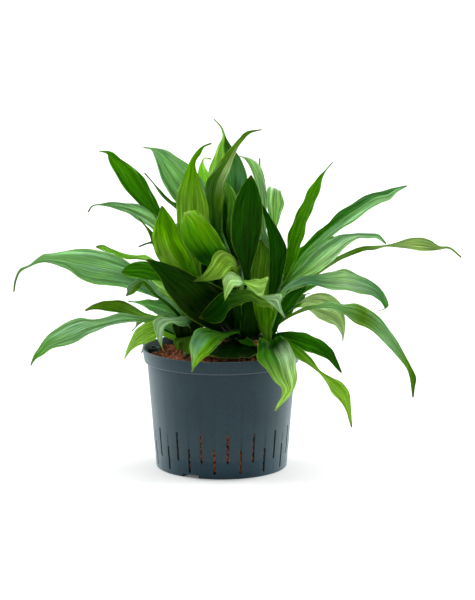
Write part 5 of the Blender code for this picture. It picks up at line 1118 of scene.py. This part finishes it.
def face_tones(leaf, face, rows):
    """The greens of a leaf's points, with the shade and sheen painted into them: those of its tones in
    turn, from its base to its tip.
    """
    sides = []
    for tones in (leaf.tone.split(), leaf.right_tone.split()):
        greens = np.array([TONES[tone][face] for tone in tones])
        steps = np.linspace(0.0, len(greens) - 1.0, rows)
        sides.append([np.interp(steps, range(len(greens)), column) for column in greens.T])
    left, right = np.array(sides).transpose(0, 2, 1)[:, :, None, :]
    share = smooth(0.5 + TONE_BLEND * ACROSS)[:, None]
    green = left * share + right * (1.0 - share)
    return np.concatenate([green, np.ones_like(green[:, :, :1])], axis=2).reshape(-1, 4)


def make_stem(stem, leaves, leaf_skin, cane_skin):
    """A stem with its leaves: one piece that stands for the stem's CAD node."""
    points, faces = stem_bar(stem)
    cane_faces = len(faces)
    all_points = [points]
    blades = [np.zeros((len(points), 3))]
    tones = [np.ones((len(points), 4))]
    first = len(points)
    thick = MARGIN_THICK + (BLADE_THICK - MARGIN_THICK) * (1.0 - ACROSS ** 2)
    for k, leaf in enumerate(leaves):
        seed = (SEED_STEP * (k + 1)) % 1.0
        top, up = leaf.surface(seed)
        under = top - up[:, None, :] * thick[None, :, None]
        rows, columns = top.shape[:2]
        faces += blade_faces(rows, columns, first)
        first += 2 * rows * columns
        all_points += [top.reshape(-1, 3), under.reshape(-1, 3)]
        blade = np.zeros((rows, columns, 3))
        blade[:, :, 0] = ACROSS[None, :]
        blade[:, :, 1] = np.linspace(0.0, 1.0, rows)[:, None]
        blade[:, :, 2] = seed
        for face in (0, 1):
            blades.append(blade.reshape(-1, 3))
            tones.append(face_tones(leaf, face, rows))
    made = add_mesh("dracaena_" + stem, np.concatenate(all_points), faces, [leaf_skin, cane_skin])
    add_attribute(made, "blade", "FLOAT_VECTOR", np.concatenate(blades))
    add_attribute(made, "tone", "FLOAT_COLOR", np.concatenate(tones))
    which = np.zeros(len(faces), np.int32)
    which[:cane_faces] = 1
    made.data.polygons.foreach_set("material_index", which)
    soften(made, LEAF_SHARP)
    return made


def object_from(name, bm, finish=None):
    """An object from a bmesh in millimetres."""
    bmesh.ops.scale(bm, vec=(MM, MM, MM), verts=bm.verts)
    bmesh.ops.recalc_face_normals(bm, faces=bm.faces)
    bmesh.ops.triangulate(bm, faces=[face for face in bm.faces if len(face.verts) > 4])
    data = bpy.data.meshes.new(name)
    bm.to_mesh(data)
    bm.free()
    if finish:
        data.materials.append(finish)
    return add_object(name, data)


def turned(profile, sides, start=0.0):
    """A bmesh turned from an outline of (radius, height); points on the axis close it."""
    bm = bmesh.new()
    verts = [bm.verts.new((r, 0.0, z)) for r, z in profile]
    edges = [bm.edges.new((verts[i], verts[(i + 1) % len(verts)])) for i in range(len(verts))]
    bmesh.ops.spin(bm, geom=verts + edges, cent=(0, 0, 0), axis=(0, 0, 1),
                   angle=2 * math.pi, steps=sides, use_merge=True)
    bmesh.ops.remove_doubles(bm, verts=bm.verts, dist=MERGE)
    lines = [edge for edge in bm.edges if not edge.link_faces]
    bmesh.ops.delete(bm, geom=lines, context="EDGES")
    bmesh.ops.rotate(bm, verts=bm.verts, cent=(0, 0, 0),
                     matrix=Matrix.Rotation(math.radians(start), 3, "Z"))
    return bm


def prism(outline, low, high):
    """A bmesh of an (x, y) outline between two heights."""
    bm = bmesh.new()
    face = bm.faces.new([bm.verts.new((x, y, low)) for x, y in outline])
    grown = bmesh.ops.extrude_face_region(bm, geom=[face])
    top = [item for item in grown["geom"] if isinstance(item, bmesh.types.BMVert)]
    bmesh.ops.translate(bm, verts=top, vec=(0, 0, high - low))
    return bm


def boolean_all(target, tools, operation):
    """Applies one Boolean with a collection of objects, which are then removed."""
    group = bpy.data.collections.new(target.name + " tools")
    bpy.context.scene.collection.children.link(group)
    for tool in tools:
        bpy.context.scene.collection.objects.unlink(tool)
        group.objects.link(tool)
    made = target.modifiers.new(operation.lower(), "BOOLEAN")
    made.operation = operation
    made.solver = "MANIFOLD"
    made.operand_type = "COLLECTION"
    made.collection = group
    graph = bpy.context.evaluated_depsgraph_get()
    data = bpy.data.meshes.new_from_object(target.evaluated_get(graph))
    target.modifiers.clear()
    target.data = data
    for tool in tools:
        bpy.data.objects.remove(tool)
    bpy.data.collections.remove(group)


def heading(degrees):
    """The flat direction that lies this far round to the right of the pot's front."""
    turn = math.radians(degrees - 90.0)
    return math.cos(turn), math.sin(turn)


def outer_radius(z):
    """The pot's outer radius between its foot and its collar."""
    return BASE_RADIUS + WALL_SLOPE * z


def arc(x, y, radius, start, end, sides=ARC_SIDES):
    """Points of a bend round (x, y) from one angle to another."""
    points = []
    for step in range(sides + 1):
        turn = math.radians(start + (end - start) * step / sides)
        points.append((x + radius * math.cos(turn), y + radius * math.sin(turn)))
    return points


def pot_profile():
    """Half the pot's section, from the middle of its underside round to that of its floor."""
    band = outer_radius(BAND_HEIGHT)
    profile = [(0.0, 0.0)]
    profile += arc(BASE_RADIUS - BASE_ROUNDING, BASE_ROUNDING, BASE_ROUNDING, -90.0, 0.0)
    profile += [(band - BAND_STEP, BAND_HEIGHT - BAND_STEP), (band, BAND_HEIGHT + BAND_STEP)]
    profile += [(WALL_TOP_RADIUS, UNDER_COLLAR)]
    profile += arc(COLLAR_FOOT_RADIUS - RIM_ROUNDING, UNDER_COLLAR + RIM_ROUNDING, RIM_ROUNDING,
                   -90.0, 0.0)
    profile += arc(RIM_RADIUS - RIM_ROUNDING, POT_HEIGHT - RIM_ROUNDING, RIM_ROUNDING, 0.0, 90.0)
    profile += arc(RIM_RADIUS - WALL + RIM_ROUNDING, POT_HEIGHT - RIM_ROUNDING, RIM_ROUNDING,
                   90.0, 180.0)
    profile += [
        (COLLAR_FOOT_RADIUS - WALL, UNDER_COLLAR + WALL),
        (WALL_TOP_RADIUS - WALL, UNDER_COLLAR),
        (BASE_RADIUS - WALL, FLOOR + BASE_ROUNDING),
        (BASE_RADIUS - WALL - BASE_ROUNDING, FLOOR),
        (0.0, FLOOR),
    ]
    return profile


def upright_cutter(degrees, width, low, high, inner, outer, slant=0.0):
    """A round-ended cutter that reaches across the wall from one radius to another."""
    half = 0.5 * width
    outline = arc(0.0, high - half, half, 0.0, 180.0, SLOT_END_SIDES)
    outline += arc(0.0, low + half, half, 180.0, 360.0, SLOT_END_SIDES)
    bm = prism(outline, inner, outer)
    for vert in bm.verts:
        vert.co.z += slant * vert.co.y
    x, y = heading(degrees)
    stand = Matrix(((-y, 0.0, x), (x, 0.0, y), (0.0, 1.0, 0.0)))
    bmesh.ops.transform(bm, matrix=stand.to_4x4(), verts=bm.verts)
    return object_from("cutter", bm)


def slot_cutter(degrees, low, high):
    return upright_cutter(degrees, SLOT_WIDTH, low, high, BASE_RADIUS - 2.0 * WALL, RIM_RADIUS)


def groove_cutter(degrees, low, high):
    """A cutter whose inner face leans with the wall, GROOVE_DEPTH inside it."""
    return upright_cutter(degrees, GROOVE_WIDTH, low, high, BASE_RADIUS - GROOVE_DEPTH,
                          RIM_RADIUS, WALL_SLOPE)


def sector(degrees, spread, inner, outer, low, high):
    """A block between two radii, spread wide round the pot's axis."""
    outline = []
    steps = range(RECESS_SIDES + 1)
    for radius, order in ((outer, steps), (inner, reversed(steps))):
        for step in order:
            x, y = heading(degrees + spread * (step / RECESS_SIDES - 0.5))
            outline.append((radius * x, radius * y))
    return object_from("sector", prism(outline, low, high))


def pocket(degrees):
    """The raised floor over one drainage recess."""
    wider = math.degrees(WALL / RECESS_INNER_RADIUS) * 2.0
    return sector(degrees, RECESS_SPREAD + wider, RECESS_INNER_RADIUS - WALL,
                  BASE_RADIUS - 0.5 * WALL, 0.5 * FLOOR, RECESS_HEIGHT + WALL)


def recess_directions():
    return [FIRST_RECESS + 360.0 / RECESS_COUNT * k for k in range(RECESS_COUNT)]


def guide_shell():
    """The gauge guide: a half tube that leans with the pot's wall, its edges sunk into it."""
    edge = outer_radius(GUIDE_BOTTOM) - WALL + GUIDE_SINK
    bends = [arc(edge - 2.0 * GUIDE_SINK, 0.0, radius, 90.0, 270.0, GUIDE_SIDES)
             for radius in (GUIDE_RADIUS, GUIDE_RADIUS - GUIDE_WALL)]
    outline = []
    for bend in (bends[0], bends[1][::-1]):
        outline += [(edge, bend[0][1])] + bend + [(edge, bend[-1][1])]
    bm = prism(outline, GUIDE_BOTTOM, GUIDE_TOP)
    for vert in bm.verts:
        vert.co.x += WALL_SLOPE * (vert.co.z - GUIDE_BOTTOM)
    x, y = heading(GUIDE_DIRECTION)
    round_axis = Matrix(((x, -y, 0.0), (y, x, 0.0), (0.0, 0.0, 1.0)))
    bmesh.ops.transform(bm, matrix=round_axis.to_4x4(), verts=bm.verts)
    return object_from("guide", bm)


def slots():
    """The direction and the heights of every slot, the two rows by turns."""
    found = []
    for k in range(SLOT_COUNT):
        upper = FIRST_UPPER_SLOT + SLOT_PITCH * k
        found.append((upper, *UPPER_SLOT))
        found.append((upper + 0.5 * SLOT_PITCH, *LOWER_SLOT))
    return found


def make_pot(finish):
    facet = 360.0 / POT_SIDES
    shell = turned(pot_profile(), POT_SIDES, FIRST_UPPER_SLOT - 0.5 * facet)
    pot = object_from("culture_pot", shell, finish)
    boolean_all(pot, [pocket(degrees) for degrees in recess_directions()] + [guide_shell()],
                "UNION")
    cutters = [slot_cutter(*slot) for slot in slots()]
    for k in range(SLOT_COUNT):
        upper = FIRST_UPPER_SLOT + SLOT_PITCH * k
        cutters.append(groove_cutter(upper, *GROOVE_UNDER_UPPER))
        cutters.append(groove_cutter(upper + 0.5 * SLOT_PITCH, *GROOVE_OVER_LOWER))
    for degrees in recess_directions():
        cutters.append(sector(degrees, RECESS_SPREAD, RECESS_INNER_RADIUS, RIM_RADIUS,
                              -RECESS_HEIGHT, RECESS_HEIGHT))
    boolean_all(pot, cutters, "DIFFERENCE")
    soften(pot, POT_SHARP)
    return pot


def swell(x, y):
    """How far the granules' surface stands above its mean height at a place."""
    waves = math.sin(2 * math.pi * x / SWELL_SPACING)
    waves *= math.cos(2 * math.pi * y / SWELL_SPACING + SWELL_START)
    drift = math.sin(x / DRIFT_SPACING[0] + DRIFT_START[0])
    drift *= math.cos(y / DRIFT_SPACING[1] + DRIFT_START[1])
    return SWELL * (SWELL_SHARE * waves + DRIFT_SHARE * drift)


def inner_radius(z):
    """The inner radius of the pot at a height."""
    if z < UNDER_COLLAR:
        return outer_radius(z) - WALL
    collar_slope = (RIM_RADIUS - COLLAR_FOOT_RADIUS) / COLLAR_HEIGHT
    return min(COLLAR_FOOT_RADIUS - WALL + collar_slope * (z - UNDER_COLLAR),
               WALL_TOP_RADIUS - WALL + z - UNDER_COLLAR)


def core_profile():
    """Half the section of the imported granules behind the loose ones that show."""
    low = RECESS_HEIGHT + WALL + CLEAR
    top = SOIL_HEIGHT - CORE_DROP
    profile = [(0.0, low)]
    profile += [(inner_radius(z) - CORE_INSET, z) for z in (low, CORE_STEP[0])]
    profile += [(inner_radius(z) - CLEAR, z) for z in (CORE_STEP[1], UNDER_COLLAR)]
    for ring in range(CORE_RINGS):
        profile.append(((inner_radius(top) - CLEAR) * (1.0 - ring / CORE_RINGS), top))
    profile.append((0.0, top))
    return profile


def top_stones(draw):
    """Centres and radii of the loose granules that lie on top, clear of wall, stems and guide."""
    guide_x, guide_y = heading(GUIDE_DIRECTION)
    guide_reach = inner_radius(SOIL_HEIGHT) - GUIDE_AXIS_INSET
    guide = (guide_x * guide_reach, guide_y * guide_reach)
    stones = []
    rows = int(2 * RIM_RADIUS / (STONE_SPACING * STONE_ROWS))
    for depth, stray, share in STONE_LAYERS:
        for row in range(rows):
            for column in range(rows):
                radius = draw.uniform(*STONE_RADII)
                x = (column + 0.5 * (row % 2) - 0.5 * rows) * STONE_SPACING
                y = (row - 0.5 * rows) * STONE_SPACING * STONE_ROWS
                x += draw.uniform(-stray, stray)
                y += draw.uniform(-stray, stray)
                z = SOIL_HEIGHT + swell(x, y) - depth + draw.uniform(-STONE_RISE, STONE_RISE)
                if share < 1.0 and draw.random() >= share:
                    continue
                if math.hypot(x, y) + radius > inner_radius(z) - STONE_WALL_GAP:
                    continue
                if math.hypot(x - guide[0], y - guide[1]) < GUIDE_RADIUS + radius:
                    continue
                feet = [stem_point(stem, z)[:2] for stem in STEMS]
                reach = STEM_RADIUS + STONE_STEM_REACH * radius
                if any(math.hypot(x - fx, y - fy) < reach for fx, fy in feet):
                    continue
                stones.append(((x, y, z), radius))
    return stones


def wall_stones(draw):
    """Centres and radii of the granules that press against the slots from inside."""
    stones = []
    for degrees, low, high in slots():
        z = low + WALL_STONE_FOOT
        side = 1.0
        while z < high + WALL_STONE_OVER:
            radius = draw.uniform(*WALL_STONE_RADII)
            reach = inner_radius(z) - radius - WALL_STONE_GAP
            x, y = heading(degrees + side * draw.uniform(*WALL_STONE_TURN))
            stones.append(((reach * x, reach * y, z), radius))
            z += WALL_STONE_STEP + draw.uniform(*WALL_STONE_STRAY)
            side = -side
    return stones


def mesh_lists(bm):
    """Points and faces of a bmesh, which is freed."""
    bm.verts.index_update()
    points = np.array([vert.co[:] for vert in bm.verts])
    faces = [[vert.index for vert in face.verts] for face in bm.faces]
    bm.free()
    return points, faces


def stone_points(draw, ball, radius):
    """Points of a ball made into a lumpy stone, squashed and turned at random."""
    phases = [draw.uniform(0.0, 2 * math.pi) for _ in range(3)]
    waves = sum(np.sin(LUMP_PITCH * ball[:, axis] + phases[axis]) for axis in range(3))
    lumps = 1.0 + STONE_LUMPS * waves / LUMP_RANGE
    squash = [draw.uniform(*STONE_SQUASH) for _ in range(3)]
    turn = np.array(Matrix.Rotation(draw.uniform(0, 2 * math.pi), 3, "Z")
                    @ Matrix.Rotation(draw.uniform(0, math.pi), 3, "X"))
    points = (ball * np.array(squash) * lumps[:, None]) @ turn.T
    return points / np.abs(points).max() * radius


def make_granules(finish):
    """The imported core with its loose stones. A stone's shade, from 0 to 1, makes it paler."""
    draw = random.Random(STONE_SEED)
    stones = [(stone, 0.0) for stone in top_stones(draw)]
    # Stones behind the slots are painted paler, for the light that falls on them through the slots
    stones += [(stone, WALL_STONE_PAINTED_LIGHT) for stone in wall_stones(draw)]
    core = turned(core_profile(), CORE_SIDES)
    bmesh.ops.recalc_face_normals(core, faces=core.faces)
    points, faces = mesh_lists(core)
    first = len(points)
    shades = [0.0] * first
    all_points = [points]
    round_stone = bmesh.new()
    bmesh.ops.create_icosphere(round_stone, subdivisions=2, radius=1.0)
    ball, ball_faces = mesh_lists(round_stone)
    for (centre, radius), least_shade in stones:
        all_points.append(stone_points(draw, ball, radius) + np.array(centre))
        faces += (np.array(ball_faces) + first).tolist()
        first += len(ball)
        shades += [draw.uniform(least_shade, 1.0)] * len(ball)
    made = add_mesh("clay_granules", np.concatenate(all_points), faces, [finish])
    add_attribute(made, "shade", "FLOAT", shades)
    soften(made, STONE_SHARP)
    return made


def soft_sun(name, place, strength, spread):
    """A light from far away, in the direction of place, that is spread wide."""
    data = bpy.data.lights.new(name, "SUN")
    data.energy = strength
    data.angle = math.radians(spread)
    add_aimed(name, data, -Vector(place))


def make_floor():
    f = new_finish("pale floor")
    cloud = f.noise(f.place(), 3.0, 2.0)
    paint = f.node("BsdfPrincipled", {
        "Base Color": f.mix(cloud, *[grey(shade) for shade in FLOOR_SHADES]), "Roughness": 0.9,
        "Specular IOR Level": 0.0, "Emission Color": grey(1.0),
        "Emission Strength": FLOOR_GLOW})
    reach = FLOOR_REACH / MM
    floor = add_mesh("floor", [(x * reach, y * reach, 0.0)
                               for x, y in ((-1, -1), (1, -1), (1, 1), (-1, 1))],
                     [[0, 1, 2, 3]], [f.end(paint.outputs[0])])


def make_room():
    """A room that is dim in front of the plant and white behind and above it."""
    f = Finish(bpy.data.worlds.new("room"), "OutputWorld")
    way = f.node("SeparateXYZ", {0: f.node("TexCoord", {}).outputs["Generated"]})
    away = f.math("ADD", way.outputs[1], f.math("MULTIPLY", way.outputs[2], 0.5))
    glow = f.ramp(away, *ROOM_FADE, ROOM_FRONT, ROOM_BACK)
    room = f.node("Background", {"Color": grey(1.0), "Strength": glow})
    bpy.context.scene.world = f.end(room.outputs[0])


def make_studio():
    make_floor()
    make_room()
    for name, light in LIGHTS.items():
        soft_sun(name, *light)


def make_camera():
    data = bpy.data.cameras.new("camera")
    data.sensor_fit = "VERTICAL"
    data.sensor_height = SENSOR
    data.lens = CAMERA_LENS
    camera = add_aimed("camera", data, CAMERA_AIM - CAMERA_PLACE)
    camera.location = CAMERA_PLACE
    bpy.context.scene.camera = camera


def main():
    bpy.context.scene.view_settings.view_transform = "Standard"
    make_camera()
    make_studio()
    pot = make_pot(plastic_finish())
    granules = make_granules(clay_finish())
    pieces = [(pot, "pot", "pot_plastic"), (granules, "substrate", "clay")]
    leaves = all_leaves()
    leaf_skin = leaf_finish()
    cane_skin = stem_finish()
    for stem in STEMS:
        grown = [leaf for leaf in leaves if leaf.stem == stem]
        pieces.append((make_stem(stem, grown, leaf_skin, cane_skin), "stem_" + stem, "leaf"))
    for piece, node, slot in pieces:
        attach(piece, "root")
        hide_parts(node)


main()
